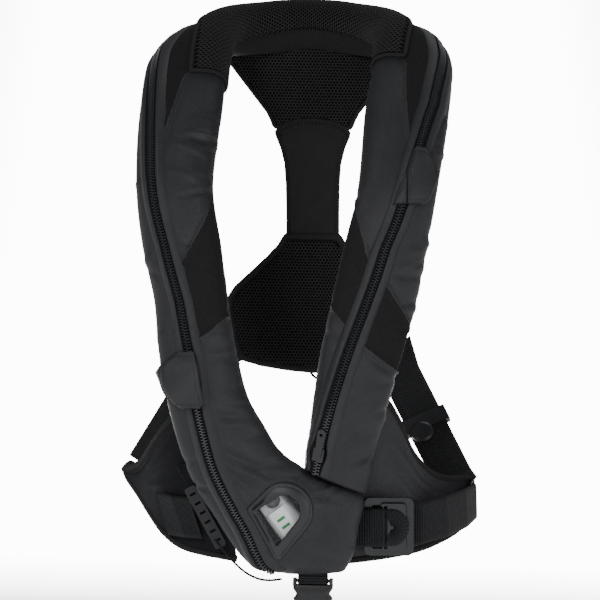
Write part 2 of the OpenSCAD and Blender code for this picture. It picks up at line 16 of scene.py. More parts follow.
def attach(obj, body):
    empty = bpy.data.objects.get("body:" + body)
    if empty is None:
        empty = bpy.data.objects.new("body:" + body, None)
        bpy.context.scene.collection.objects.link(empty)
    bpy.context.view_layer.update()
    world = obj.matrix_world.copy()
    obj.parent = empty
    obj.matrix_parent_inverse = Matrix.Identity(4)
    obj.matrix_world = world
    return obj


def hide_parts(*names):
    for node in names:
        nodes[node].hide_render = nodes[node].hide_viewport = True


MM = 0.001
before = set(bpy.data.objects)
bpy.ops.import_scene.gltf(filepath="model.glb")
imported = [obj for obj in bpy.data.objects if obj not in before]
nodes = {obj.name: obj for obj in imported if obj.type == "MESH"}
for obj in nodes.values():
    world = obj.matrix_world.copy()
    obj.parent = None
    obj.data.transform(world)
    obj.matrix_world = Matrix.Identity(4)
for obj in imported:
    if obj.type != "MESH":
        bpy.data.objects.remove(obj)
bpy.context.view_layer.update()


# ---- Small maths ------------------------------------------------------------------------------
def unit(v):
    v = np.asarray(v, float)
    return v / np.maximum(np.linalg.norm(v, axis=-1, keepdims=True), 1e-9)


def spow(v, p):
    return np.sign(v) * np.abs(v) ** p


def curve_at(points, s):
    """Smooth curve through every entry of a list, at station s."""
    p = np.asarray(points, float)
    s = np.asarray(s, float)
    i = np.clip(np.floor(s).astype(int), 0, len(p) - 2)
    t = (s - i).reshape(s.shape + (1,) * (p.ndim - 1))
    a, b, c, d = p[np.maximum(i - 1, 0)], p[i], p[i + 1], p[np.minimum(i + 2, len(p) - 1)]
    return 0.5 * (2 * b + (c - a) * t + (2 * a - 5 * b + 4 * c - d) * t**2
                  + (3 * b - a - 3 * c + d) * t**3)


def even(points, step):
    """The smooth curve through points, resampled at an even step."""
    s = np.linspace(0, len(points) - 1, 24 * len(points))
    dense = curve_at(points, s)
    along = np.concatenate([[0], np.cumsum(np.linalg.norm(np.diff(dense, axis=0), axis=1))])
    n = max(int(round(along[-1] / step)), 2)
    at = np.linspace(0, along[-1], n + 1)
    return np.stack([np.interp(at, along, dense[:, k]) for k in range(dense.shape[1])], -1)


def ramp(x, low, high):
    t = np.clip((x - low) / (high - low), 0, 1)
    return t * t * (3 - 2 * t)


def bell(x, width):
    return np.exp(-((x / width) ** 2))


# ---- Materials --------------------------------------------------------------------------------
def shader(name, color, rough, metal=0.0, sheen=0.0, coat=0.0, specular=0.5):
    """A new Principled material, with its node tree and its shader."""
    mat = bpy.data.materials.new(name)
    mat.use_nodes = True
    bsdf = mat.node_tree.nodes["Principled BSDF"]
    bsdf.inputs["Base Color"].default_value = (*color, 1)
    bsdf.inputs["Roughness"].default_value = rough
    bsdf.inputs["Metallic"].default_value = metal
    bsdf.inputs["Sheen Weight"].default_value = sheen
    bsdf.inputs["Sheen Roughness"].default_value = 0.45
    bsdf.inputs["Specular IOR Level"].default_value = specular
    bsdf.inputs["Coat Weight"].default_value = coat
    bsdf.inputs["Coat Roughness"].default_value = 0.15
    return mat, mat.node_tree, bsdf


def node(tree, kind, inputs=(), **settings):
    made = tree.nodes.new(kind)
    for key, value in settings.items():
        setattr(made, key, value)
    for key, value in dict(inputs).items():
        if isinstance(value, bpy.types.NodeSocket):
            tree.links.new(value, made.inputs[key])
        else:
            made.inputs[key].default_value = value
    return made


def noise(tree, where, scale, detail=3.0):
    made = node(tree, "ShaderNodeTexNoise", {"Vector": where, "Scale": scale, "Detail": detail})
    return made.outputs["Fac"]


def math_node(tree, operation, a, b):
    made = node(tree, "ShaderNodeMath", operation=operation)
    for socket, value in zip(made.inputs, (a, b)):
        if isinstance(value, bpy.types.NodeSocket):
            tree.links.new(value, socket)
        else:
            socket.default_value = value
    return made.outputs[0]


def spread(tree, value, low, high, start=0.0, end=1.0):
    """Maps value's run from start to end onto low to high."""
    return node(tree, "ShaderNodeMapRange", {"Value": value, "From Min": start, "From Max": end,
                                             "To Min": low, "To Max": high}).outputs[0]


def mix_color(tree, factor, a, b):
    made = node(tree, "ShaderNodeMix", data_type="RGBA")
    for key, value in ((0, factor), (6, a), (7, b)):
        if isinstance(value, bpy.types.NodeSocket):
            tree.links.new(value, made.inputs[key])
        else:
            made.inputs[key].default_value = (*value, 1) if key else value
    return made.outputs[2]


def bump(tree, bsdf, height, distance, strength=1.0):
    made = node(tree, "ShaderNodeBump", {"Height": height, "Distance": distance, "Strength": strength})
    tree.links.new(made.outputs[0], bsdf.inputs["Normal"])


def place(tree, uv):
    """Texture coordinates in metres: from the UV map, which holds metres, or from the object."""
    return node(tree, "ShaderNodeTexCoord").outputs["UV" if uv else "Object"]


def woven(tree, where, pitch):
    """Height of a plain weave with that thread pitch, in metres."""
    turned = node(tree, "ShaderNodeMapping", {"Vector": where, "Scale": (1 / pitch, 1 / pitch, 1 / pitch)})
    xyz = node(tree, "ShaderNodeSeparateXYZ", {"Vector": turned.outputs[0]})
    wave = [math_node(tree, "SINE", math_node(tree, "MULTIPLY", xyz.outputs[k], math.pi), 0) for k in (0, 1)]
    return math_node(tree, "MULTIPLY", *wave)


def fabric(name, color, rough, pitch, depth, mottle=0.25, sheen=0.03, specular=0.2, uv=True):
    """Woven cloth: threads in the bump, and a slow mottling of its colour."""
    mat, tree, bsdf = shader(name, color, rough, sheen=sheen, specular=specular)
    where = place(tree, uv)
    slow = noise(tree, where, 45, 4)
    fine = noise(tree, where, 900, 2)
    dark = tuple(c * (1 - mottle) for c in color)
    light = tuple(c * (1 + mottle) for c in color)
    cloth = mix_color(tree, slow, dark, light)
    tree.links.new(cloth, bsdf.inputs["Base Color"])
    height = math_node(tree, "ADD", woven(tree, where, pitch), math_node(tree, "MULTIPLY", fine, 1.2))
    bump(tree, bsdf, height, depth)
    return mat


def ribbed(name, color, rough, pitch):
    """Narrow webbing: ribs across it along the UV's second axis, and fine threads along it."""
    mat, tree, bsdf = shader(name, color, rough, sheen=0.02, specular=0.25)
    where = place(tree, True)
    xyz = node(tree, "ShaderNodeSeparateXYZ", {"Vector": where})
    rib = math_node(tree, "SINE", math_node(tree, "MULTIPLY", xyz.outputs[1], math.tau / pitch), 0)
    thread = math_node(tree, "SINE", math_node(tree, "MULTIPLY", xyz.outputs[0], math.tau / 0.0013), 0)
    height = math_node(tree, "ADD", rib, math_node(tree, "MULTIPLY", thread, 0.3))
    # Painted shade and light: the colour is darker in each rib's groove and lighter on its crest, in step with
    # the rib's bump.
    shade = math_node(tree, "MULTIPLY_ADD", rib, 0.25)
    shade.node.inputs[2].default_value = 0.5
    dark, light = tuple(c * 0.55 for c in color), tuple(c * 1.5 for c in color)
    tree.links.new(mix_color(tree, shade, dark, light), bsdf.inputs["Base Color"])
    bump(tree, bsdf, height, 0.0005)
    return mat


def moulded(name, color, rough, grain=0.00006, coat=0.0, metal=0.0, scale=700, uv=False):
    """Moulded plastic, rubber or metal with a fine grain and slightly uneven gloss."""
    mat, tree, bsdf = shader(name, color, rough, metal=metal, coat=coat)
    where = place(tree, uv)
    fine = noise(tree, where, scale, 3)
    slow = noise(tree, where, 60, 3)
    tree.links.new(spread(tree, slow, rough * 0.8, rough * 1.25), bsdf.inputs["Roughness"])
    tint = mix_color(tree, slow, tuple(c * 0.88 for c in color), tuple(min(c * 1.1, 1) for c in color))
    tree.links.new(tint, bsdf.inputs["Base Color"])
    bump(tree, bsdf, fine, grain)
    return mat


def brushed(name, color, rough):
    """Brushed steel: long fine scratches up and down."""
    mat, tree, bsdf = shader(name, color, rough, metal=1.0)
    where = place(tree, False)
    lines = node(tree, "ShaderNodeMapping", {"Vector": where, "Scale": (1600, 1600, 60)})
    grain = noise(tree, lines.outputs[0], 1.0, 2)
    tree.links.new(spread(tree, grain, rough * 0.7, rough * 1.4), bsdf.inputs["Roughness"])
    bump(tree, bsdf, grain, 0.00003)
    return mat


def panelled(name, nylon, softshell):
    """The cover's cloth: nylon, with softshell where the mesh's "shell" attribute is above 0.

    "seam" is each point's distance in millimetres from the nearest seam."""
    mat, tree, bsdf = shader(name, nylon, 0.5, sheen=0.02, specular=0.42)
    where = place(tree, True)
    shell = node(tree, "ShaderNodeAttribute", attribute_name="shell").outputs["Fac"]
    seam = node(tree, "ShaderNodeAttribute", attribute_name="seam").outputs["Fac"]
    is_shell = spread(tree, shell, 0, 1, -0.25, 0.25)
    slow = noise(tree, where, 38, 4)
    fine = noise(tree, where, 1100, 2)
    cloth = mix_color(tree, slow, tuple(c * 0.72 for c in nylon), tuple(c * 1.28 for c in nylon))
    soft = mix_color(tree, noise(tree, where, 260, 3), tuple(c * 0.7 for c in softshell),
                     tuple(c * 1.3 for c in softshell))
    both = mix_color(tree, is_shell, cloth, soft)
    # Painted shade: the colour goes to near black within about a millimetre of each seam, in the groove the seam
    # makes in the cloth.
    dark = mix_color(tree, spread(tree, seam, 0.25, 1.0, 0.25, 1.3), (0.006, 0.006, 0.007), both)
    tree.links.new(dark, bsdf.inputs["Base Color"])
    tree.links.new(spread(tree, is_shell, 0.4, 0.8), bsdf.inputs["Roughness"])
    tree.links.new(spread(tree, is_shell, 0.34, 0.08), bsdf.inputs["Specular IOR Level"])
    weave = math_node(tree, "MULTIPLY", woven(tree, where, WEAVE), math_node(tree, "SUBTRACT", 1.0, is_shell))
    bump(tree, bsdf, math_node(tree, "ADD", weave, math_node(tree, "MULTIPLY", fine, 1.3)), 0.00012)
    return mat


WEAVE = 0.00085  # thread pitch of the nylon, in metres
NYLON = (0.0165, 0.0168, 0.0192)
SOFTSHELL = (0.0145, 0.0145, 0.0151)
cover_cloth = panelled("cover_cloth", NYLON, SOFTSHELL)
nylon_cloth = fabric("nylon_cloth", NYLON, 0.42, WEAVE, 0.00012, specular=0.4)
# Darker, less glossy copy of the nylon for the right wing and its tab: the lower gloss is the cloth's, the darker
# colour is painted shade on that side.
wing_cloth_painted_shade = fabric("wing_cloth_painted_shade", (0.0112, 0.0114, 0.0128), 0.62, WEAVE, 0.00014, specular=0.06)
softshell_cloth = fabric("softshell_cloth", SOFTSHELL, 0.78, 0.0006, 0.0001)
net_yarn = fabric("net_yarn", (0.021, 0.021, 0.022), 0.5, 0.0005, 0.0001)
# Backing under the 3-D mesh: a real layer, coloured near black as painted shade in the mesh's holes.
mesh_backing_painted_shade = fabric("mesh_backing_painted_shade", (0.0022, 0.0022, 0.0024), 0.85, 0.0005, 0.0001, specular=0.1)
web_yarn = ribbed("web_yarn", (0.0098, 0.0102, 0.0114), 0.5, 0.0024)
thread = fabric("thread", (0.024, 0.0245, 0.027), 0.5, 0.0004, 0.00005, uv=False)
tape_cloth = fabric("tape_cloth", (0.004, 0.004, 0.0045), 0.7, 0.0006, 0.0001)
tooth_plastic = moulded("tooth_plastic", (0.02, 0.021, 0.023), 0.17, coat=0.9)
slider_metal = moulded("slider_metal", (0.02, 0.02, 0.022), 0.28, metal=0.5, coat=0.3)
bezel_tpu = moulded("bezel_tpu", (0.017, 0.0175, 0.0195), 0.42, 0.00005)
rubber = moulded("rubber", (0.016, 0.0165, 0.018), 0.55, 0.00008)
black_plastic = moulded("black_plastic", (0.011, 0.011, 0.0122), 0.36, 0.00006)
knob_plastic = moulded("knob_plastic", (0.035, 0.037, 0.042), 0.3, coat=0.3)
white_plastic = moulded("white_plastic", (0.88, 0.9, 0.9), 0.35, 0.00003)
green_plastic = moulded("green_plastic", (0.01, 0.24, 0.055), 0.3)
red_plastic = moulded("red_plastic", (0.55, 0.03, 0.02), 0.38)
orange_plastic = moulded("orange_plastic", (0.8, 0.22, 0.02), 0.35)
yellow_cloth = fabric("yellow_cloth", (0.72, 0.6, 0.03), 0.5, 0.0008, 0.0001, mottle=0.1, uv=False)
yellow_plastic = moulded("yellow_plastic", (0.7, 0.5, 0.06), 0.6)
cylinder_paint = moulded("cylinder_paint", (0.30, 0.34, 0.32), 0.35, coat=0.2)
steel = brushed("steel", (0.055, 0.056, 0.058), 0.27)
brass = moulded("brass", (0.62, 0.46, 0.2), 0.3, metal=1.0)
cord_braid = fabric("cord_braid", (0.007, 0.007, 0.0075), 0.6, 0.001, 0.0003)


def clear_window():
    """Thin clear film: mostly see-through, with gloss at grazing angles."""
    mat, tree, bsdf = shader("clear_window", (0.5, 0.53, 0.55), 0.06)
    bsdf.inputs["Alpha"].default_value = 0.03
    bsdf.inputs["Coat Weight"].default_value = 0.15
    smear = noise(tree, place(tree, False), 90, 3)
    tree.links.new(spread(tree, smear, 0.04, 0.12), bsdf.inputs["Roughness"])
    return mat


# ---- Making pieces ----------------------------------------------------------------------------
def piece(name, points, faces, material, replaces=(), body="jacket", slot=None, uv=None,
          smooth=True, attributes=()):
    """One mesh object from points in millimetres. uv holds one (u, v) in millimetres a point."""
    mesh = bpy.data.meshes.new(name)
    mesh.from_pydata((np.asarray(points, float) * MM).tolist(), [], [list(map(int, f)) for f in faces])
    mesh.polygons.foreach_set("use_smooth", [smooth] * len(mesh.polygons))
    if uv is None:
        uv = np.asarray(points, float)[:, [0, 2]]
    layer = mesh.uv_layers.new(name="metres")
    corner = np.zeros(len(mesh.loops), dtype=np.int32)
    mesh.loops.foreach_get("vertex_index", corner)
    layer.data.foreach_set("uv", (np.asarray(uv, float)[corner] * MM).ravel())
    for key, values in dict(attributes).items():
        mesh.attributes.new(key, "FLOAT", "POINT").data.foreach_set("value", np.asarray(values, float))
    mesh.materials.append(material)
    mesh.update()
    obj = bpy.data.objects.new(name, mesh)
    bpy.context.scene.collection.objects.link(obj)
    settle(obj, replaces, body)
    return obj


def settle(obj, replaces=(), body="jacket"):
    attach(obj, body)
    if replaces:
        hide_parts(*replaces)


def grid_faces(rows, columns, closed=False, base=0):
    faces = []
    for i in range(rows - 1):
        for j in range(columns if closed else columns - 1):
            a, b = base + i * columns + j, base + i * columns + (j + 1) % columns
            faces.append((a, b, b + columns, a + columns))
    return faces


class Build:
    """Points, faces and UVs gathered for one piece."""

    def __init__(self):
        self.points, self.faces, self.uv, self.count = [], [], [], 0

    def add(self, points, faces, uv=None):
        points = np.asarray(points, float).reshape(-1, 3)
        self.faces += [tuple(k + self.count for k in f) for f in faces]
        self.points.append(points)
        self.uv.append(points[:, [0, 2]] if uv is None else np.asarray(uv, float).reshape(-1, 2))
        self.count += len(points)

    def grid(self, points, uv=None, closed=False):
        rows, columns = points.shape[:2]
        self.add(points, grid_faces(rows, columns, closed), uv)

    def piece(self, name, material, **settings):
        return piece(name, np.concatenate(self.points), self.faces, material,
                     uv=np.concatenate(self.uv), **settings)


def lengths(path):
    return np.concatenate([[0], np.cumsum(np.linalg.norm(np.diff(path, axis=0), axis=1))])


def tangents(path):
    return unit(np.gradient(path, axis=0))


def sweep(build, path, out, profile, closed=True, ends=True):
    """Sweeps a profile of (across, out) pairs along a path; out gives each point's outward way."""
    run = tangents(path)
    across = unit(np.cross(out, run))
    out = np.cross(run, across)
    profile = np.asarray(profile, float)
    rings = (path[:, None] + across[:, None] * profile[None, :, :1] + out[:, None] * profile[None, :, 1:])
    base = build.count
    build.grid(rings, flat_uv(lengths(profile), lengths(path)), closed)
    n = len(profile)
    if closed and ends:
        build.faces.append(tuple(base + k for k in range(n)))
        build.faces.append(tuple(base + (len(path) - 1) * n + k for k in reversed(range(n))))


def flat_uv(u, v):
    """UVs of a grid, from the distances along its columns and its rows."""
    return np.stack(np.meshgrid(u, v), -1)


def facing(path, way=(0.0, -1.0, 0.0)):
    """One outward way, the front by default, for every point of a path."""
    return np.tile(np.array(way), (len(path), 1))


def circle(radius, n=12):
    return oval(2 * radius, 2 * radius, n, 1.0)


def oval(width, height, n=12, power=0.7):
    """Flattened round outline, squarer at a lower power."""
    a = math.tau * np.arange(n) / n
    return np.stack([width / 2 * spow(np.cos(a), power), height / 2 * spow(np.sin(a), power)], -1).tolist()


def swept(name, path, out, profile, material, ends=True, **settings):
    build = Build()
    sweep(build, path, out, profile, ends=ends)
    return build.piece(name, material, **settings)


def sheet(name, grid, thick, material, **settings):
    build = Build()
    slab(build, grid, thick)
    return build.piece(name, material, **settings)


def stitches(build, path, out, length=2.2, gap=1.5, radius=0.38, lift=0.15):
    """A row of single stitches lying on a surface along a path."""
    path = np.asarray(path, float)
    along = lengths(path)
    count = int(along[-1] // (length + gap))
    if count < 1:
        return
    starts = (np.arange(count) + 0.25) * along[-1] / count

    def at(values, where):
        return np.stack([np.interp(where, along, values[:, k]) for k in range(3)], -1)

    tip, tail = at(path, starts), at(path, starts + length)
    normal = unit(at(np.asarray(out, float), starts + length / 2))
    run = unit(tail - tip)
    side = unit(np.cross(normal, run))
    centre = (tip + tail) / 2 + normal * lift
    ring = [(0.5, 0.35), (0.3, 1.0), (-0.3, 1.0), (-0.5, 0.35)]
    points = np.stack([centre + run * length * x + (side * math.cos(a) + normal * math.sin(a)) * radius * r
                       for x, r in ring for a in (0, math.pi / 2, math.pi, 1.5 * math.pi)], 1)
    for k in range(count):
        build.add(points[k], grid_faces(4, 4, closed=True) + [(0, 3, 2, 1), (12, 13, 14, 15)])


# ---- The horseshoe's surface ------------------------------------------------------------------
# A rib is [outer edge, inner edge, [half thickness, 0, 0]], as in the CAD model.
NECK_HALF = [
    [[51, 85, 14], [38, 63, 59], [18, 0, 0]], [[116, 55, 14], [72, 36, 50], [20, 0, 0]],
    [[149, 10, 4], [75, 4, 22], [20, 0, 0]], [[155, -48, -34], [72, -52, -27], [20, 0, 0]],
    [[151, -98, -98], [73, -114, -97], [20, 0, 0]], [[142, -114, -158], [62, -138, -156], [20, 0, 0]]]
NAPE = [[[0, 96, 16], [0, 74, 61], [17, 0, 0]]]
LEFT_LOW = [
    [[133, -122, -208], [52, -149, -206], [20, 0, 0]], [[121, -133, -258], [42, -157, -256], [20, 0, 0]],
    [[108, -144, -308], [35, -162, -305], [20, 0, 0]], [[96, -147, -352], [31, -163, -342], [19, 0, 0]],
    [[86, -149, -398], [29, -164, -373], [16, 0, 0]]]
RIGHT_LOW = [
    [[-128, -125, -212], [-54, -151, -206], [20, 0, 0]], [[-122, -139, -261], [-44, -159, -256], [20, 0, 0]],
    [[-113, -149, -306], [-31, -163, -303], [20.5, 0, 0]], [[-103, -153, -345], [-15, -162, -331], [20, 0, 0]],
    [[-92, -156, -376], [2, -161, -357], [19, 0, 0]]]
FLAP = [
    [[-79, -157, -402], [28, -159, -375], [19, 0, 0]], [[-64, -158, -424], [58, -158, -388], [19, 0, 0]],
    [[-50, -158, -446], [84, -158, -402], [19, 0, 0]], [[-37, -158, -463], [80, -158, -432], [18, 0, 0]],
    [[-23, -157, -474], [75, -157, -458], [15, 0, 0]], [[2, -156, -478], [66, -156, -475], [9, 0, 0]]]
MIRROR = np.array([[[-1, 1, 1], [-1, 1, 1], [1, 1, 1]]])
NECK = np.array(NECK_HALF)
STATIONS = np.concatenate([FLAP[::-1], RIGHT_LOW[::-1], NECK[::-1] * MIRROR, NAPE, NECK, LEFT_LOW]).astype(float)
NAPE_AT = 17
LAST = 28
PLUMP = 0.8


def rib_frame(s):
    r = curve_at(STATIONS, s)
    before, after = (curve_at(STATIONS, np.clip(s + d, 0, LAST)) for d in (-1 / 3, 1 / 3))
    along = unit(after[..., 0, :] + after[..., 1, :] - before[..., 0, :] - before[..., 1, :])
    return r, along, unit(np.cross(along, r[..., 0, :] - r[..., 1, :]))


def cover_at(s, angle, lift=0.0):
    """Point of the cover at station s and an angle in degrees: 0 the outer edge, 90 the front."""
    s, angle = np.broadcast_arrays(np.asarray(s, float), np.asarray(angle, float))
    r, _, out = rib_frame(s)
    half = (r[..., 0, :] - r[..., 1, :]) / 2
    wide = np.linalg.norm(half, axis=-1)
    a = np.radians(angle)
    return ((r[..., 0, :] + r[..., 1, :]) / 2
            + unit(half) * ((wide + lift) * spow(np.cos(a), PLUMP))[..., None]
            + out * ((r[..., 2, 0] + lift) * spow(np.sin(a), PLUMP))[..., None])


def face_angle(share):
    """Angle on the front face at a share of the half width, 1 at the outer edge."""
    return np.degrees(np.arccos(np.clip(spow(share, 1 / PLUMP), -1, 1)))


def share_of(angle):
    return spow(np.cos(np.radians(angle)), PLUMP)


def on_face(s, share, lift=0.0):
    return cover_at(s, face_angle(share), lift)


def face_out(s, share):
    """Outward way of the front face."""
    du = on_face(s, np.clip(share + 0.04, -1, 1)) - on_face(s, np.clip(share - 0.04, -1, 1))
    dv = on_face(np.clip(s + 0.05, 0, LAST), share) - on_face(np.clip(s - 0.05, 0, LAST), share)
    return unit(np.cross(dv, du))


def table(pairs):
    xs, ys = zip(*pairs)
    return lambda x: np.interp(x, xs, ys)


RIGHT_ZIP = [0.8, 0.74, 0.7, 0.68, 0.62, 0.5, 0.38, 0.26, 0.12, 0, 0.04, 0.2, 0.44, 0.62, 0.72, 0.6, 0.4, 0.2]
LEFT_ZIP = [0.2, 0.4, 0.6, 0.68, 0.62, 0.26, -0.08, -0.25, -0.4, -0.54, -0.66, -0.74]
zip_share = table([(k, w) for k, w in enumerate(RIGHT_ZIP + LEFT_ZIP[1:])])

# Seams of the cover's panels, as (station, share) points on its front face
SEAMS = {
    "right_shoulder": [(12.15, 0.46), (12.45, 0.28), (12.82, 0.12), (13.12, 0.0), (13.36, -0.1)],
    "left_shoulder": [(20.3, -0.2), (20.6, -0.12), (21.0, 0.0), (21.45, 0.16), (21.7, 0.3)],
    "right_band_top": [(11.8, -1), (11.5, -0.9), (11.1, -0.57), (10.75, -0.25), (10.5, 0.0), (10.42, 0.1)],
    "right_band_low": [(9.66, -1), (9.6, -0.94), (9.38, -0.65), (9.25, -0.35), (9.15, -0.1), (9.08, 0.0)],
    "left_band_top": [(22.2, -1), (22.4, -0.94), (22.9, -0.62), (23.22, -0.41), (23.55, -0.05), (24.0, 0.42),
                      (24.4, 0.85), (24.6, 1)],
    "left_band_low": [(24.1, -1), (24.2, -0.93), (24.4, -0.72), (24.78, -0.23), (25.1, 0.35), (25.35, 0.9),
                      (25.4, 1)],
}
# Lining of the collar: 3-D mesh from the shoulder round the nape, over these angles
LINING_FROM, LINING_TO = 13.4, 20.25
LINING_ANGLES = (101, 255)


def seam_line(name, step=2.0):
    """Even points along a seam: stations and shares."""
    fine = curve_at(SEAMS[name], np.linspace(0, len(SEAMS[name]) - 1, 160))
    fine[:, 1] = np.clip(fine[:, 1], -1, 1)
    along = lengths(on_face(fine[:, 0], fine[:, 1]))
    at = np.linspace(0, along[-1], int(along[-1] / step) + 2)
    return np.interp(at, along, fine[:, 0]), np.interp(at, along, fine[:, 1])


def seam_station(name):
    s, w = seam_line(name)
    order = np.argsort(w)
    return lambda share: np.interp(share, w[order], s[order])


def is_softshell(s, angle):
    """Whether a point of the cover is on a softshell panel."""
    share, front = share_of(angle), np.sin(np.radians(angle)) >= 0
    edge = table([(12.15, 0.46), (12.45, 0.28), (12.82, 0.12), (13.3, -0.08), (13.5, -0.34), (20.2, -0.34),
                  (20.45, -0.16), (21.0, 0.0), (21.45, 0.16), (21.7, 0.3)])
    yoke = (s > 12.15) & (s < 21.7) & (share > edge(s)) & (share < zip_share(s)) & front
    right = (s > seam_station("right_band_low")(share)) & (s < seam_station("right_band_top")(share)) \
        & (share < zip_share(s)) & front
    left = (s > seam_station("left_band_top")(share)) & (s < seam_station("left_band_low")(share)) & front
    collar = (s > LINING_FROM) & (s < LINING_TO) & ~front
    return yoke | right | left | collar


def nearest(points, line):
    """Distance from each point to the nearest point of a dense line."""
    points = points.reshape(-1, 3)
    best = np.full(len(points), 1e9)
    for start in range(0, len(line), 64):
        part = line[start:start + 64]
        best = np.minimum(best, np.linalg.norm(points[:, None] - part[None], axis=2).min(1))
    return best


# ---- Camera, light and floor ------------------------------------------------------------------
def set_stage():
    turn, tilt, reach = math.radians(8), math.radians(8), 14.0
    right = Vector((math.cos(turn), math.sin(turn), 0))
    back = Vector((math.sin(turn) * math.cos(tilt), -math.cos(turn) * math.cos(tilt), math.sin(tilt)))
    up = back.cross(right)
    target = right * -0.001 + up * -0.225
    data = bpy.data.cameras.new("camera")
    data.sensor_width = 36
    data.lens = 36 * reach / 0.6
    camera = bpy.data.objects.new("camera", data)
    camera.location = target + back * reach
    camera.rotation_euler = (math.pi / 2 - tilt, 0, turn)
    bpy.context.scene.collection.objects.link(camera)
    bpy.context.scene.camera = camera

    def area(name, where, size, power):
        light = bpy.data.lights.new(name, "AREA")
        light.shape, light.size, light.energy = "DISK", size, power
        obj = bpy.data.objects.new(name, light)
        obj.location = where
        obj.rotation_euler = (Vector((0, -0.05, -0.25)) - Vector(where)).to_track_quat("-Z", "Y").to_euler()
        bpy.context.scene.collection.objects.link(obj)

    area("key", (-0.9, -2.5, 1.35), 1.0, 36)
    area("fill", (1.9, -2.0, 0.3), 1.2, 15)
    area("rim", (0.3, 1.6, 2.0), 1.2, 7)
    world = bpy.data.worlds.new("studio")
    world.use_nodes = True
    world.node_tree.nodes["Background"].inputs["Color"].default_value = (0.92, 0.95, 1.0, 1)
    world.node_tree.nodes["Background"].inputs["Strength"].default_value = 0.27
    bpy.context.scene.world = world

    cloth, tree, bsdf = shader("floor", (0.86, 0.86, 0.86), 0.7)
    bsdf.inputs["Emission Color"].default_value = (1, 1, 1, 1)
    where = place(tree, False)
    x, y = node(tree, "ShaderNodeSeparateXYZ", {"Vector": where}).outputs[:2]
    behind = spread(tree, y, 0, 1, 0.42, 0.8)
    aside = math_node(tree, "ADD", x, math_node(tree, "MULTIPLY", y, math.tan(turn)))
    beside = spread(tree, math_node(tree, "ABSOLUTE", aside, 0), 1, 0, 0.36, 0.6)
    # The floor glows in a strip behind the object, as the camera sees it
    glow = math_node(tree, "MULTIPLY_ADD", math_node(tree, "MULTIPLY", behind, beside), 12.0)
    glow.node.inputs[2].default_value = 0.6
    tree.links.new(glow, bsdf.inputs["Emission Strength"])
    slow = noise(tree, where, 2.0, 2)
    tree.links.new(mix_color(tree, slow, (0.84, 0.84, 0.84), (0.88, 0.88, 0.88)), bsdf.inputs["Base Color"])
    low, far = -0.62, 9
    mesh = bpy.data.meshes.new("floor")
    mesh.from_pydata([(-far, -far, low), (-far, far, low), (far, -far, low), (far, far, low)], [], [(0, 2, 3, 1)])
    mesh.polygons.foreach_set("use_smooth", [True])
    mesh.materials.append(cloth)
    obj = bpy.data.objects.new("floor", mesh)
    bpy.context.scene.collection.objects.link(obj)


set_stage()


# ---- Cords ------------------------------------------------------------------------------------
def cord(name, route, radius, held):
    """A thin braided cord with both ends sewn into the jacket."""
    path = even(route, 1.5)
    obj = swept(name, path, facing(path, (0.0, -1.0, 0.05)), circle(radius, 10), cord_braid, replaces=[held],
                slot="cord_black")
    float(lengths(path)[-1]) * MM


cord("edge_cord_braid", [[-66, -149, -448], [-54, -147, -463], [-44, -146, -474], [-34, -146, -482],
                         [-22, -148, -487], [-10, -150, -488], [2, -152, -486]], 1.2, "edge_cord")
cord("back_loop_elastic", [[-2, 84, -310.6], [-1, 83.5, -314], [4, 83, -318], [12, 83, -319.5],
                           [20, 83, -318], [25, 84, -313], [25.5, 84.5, -308.6]], 1.3, "back_loop")


# ---- The cover --------------------------------------------------------------------------------
def convex(points):
    """Corners of the convex outline round flat points, counter-clockwise."""
    points = sorted(map(tuple, points))

    def chain(order):
        kept = []
        for p in order:
            while len(kept) > 1 and ((kept[-1][0] - kept[-2][0]) * (p[1] - kept[-2][1])
                                     - (kept[-1][1] - kept[-2][1]) * (p[0] - kept[-2][0])) <= 0:
                kept.pop()
            kept.append(p)
        return kept[:-1]

    return np.array(chain(points) + chain(points[::-1]))


def rounded_triangle(circles):
    """Outline round circles given as (x, z, radius)."""
    return convex([(x + r * math.cos(t), z + r * math.sin(t)) for x, z, r in circles
                   for t in np.linspace(0, math.tau, 96, endpoint=False)])


def reach(outline, centre, angles):
    """Distance from a centre to a convex outline in each direction, in radians."""
    p = outline - centre
    q = np.roll(p, -1, axis=0) - p
    d = np.stack([np.cos(angles), np.sin(angles)], -1)
    cross = d[:, None, 0] * q[None, :, 1] - d[:, None, 1] * q[None, :, 0]
    cross = np.where(np.abs(cross) < 1e-9, 1e-9, cross)
    far = (p[None, :, 0] * q[None, :, 1] - p[None, :, 1] * q[None, :, 0]) / cross
    share = (p[None, :, 0] * d[:, None, 1] - p[None, :, 1] * d[:, None, 0]) / cross
    return np.where((share >= -1e-6) & (share <= 1 + 1e-6) & (far > 0), far, 0).max(1)


def inside(outline, x, z):
    """Whether points are inside a convex outline."""
    turn = np.roll(outline, -1, axis=0) - outline
    x, z = x[..., None] - outline[:, 0], z[..., None] - outline[:, 1]
    return np.all(turn[:, 0] * z - turn[:, 1] * x > 0, -1)


WINDOW = [(9, -413, 15.6), (-17, -414, 1.2), (1, -447, 1.2)]
BEZEL = [(9, -413, 28), (-25, -413, 4), (1.5, -458, 5)]
window_outline = rounded_triangle(WINDOW)
window_hole = rounded_triangle([(x, z, r + 4) for x, z, r in WINDOW])
bezel_outline = rounded_triangle(BEZEL)
bezel_zone = rounded_triangle([(x, z, r + 5) for x, z, r in BEZEL])

ZIP_STATIONS = np.linspace(0.5, LAST, 900)
zip_points = on_face(ZIP_STATIONS, zip_share(ZIP_STATIONS))
seam_points = np.concatenate([on_face(*seam_line(name)) for name in SEAMS])


def grid_out(grid):
    """Outward way at each point of a grid whose columns run round the body anticlockwise."""
    return unit(np.cross(np.gradient(grid, axis=0), np.gradient(grid, axis=1)))


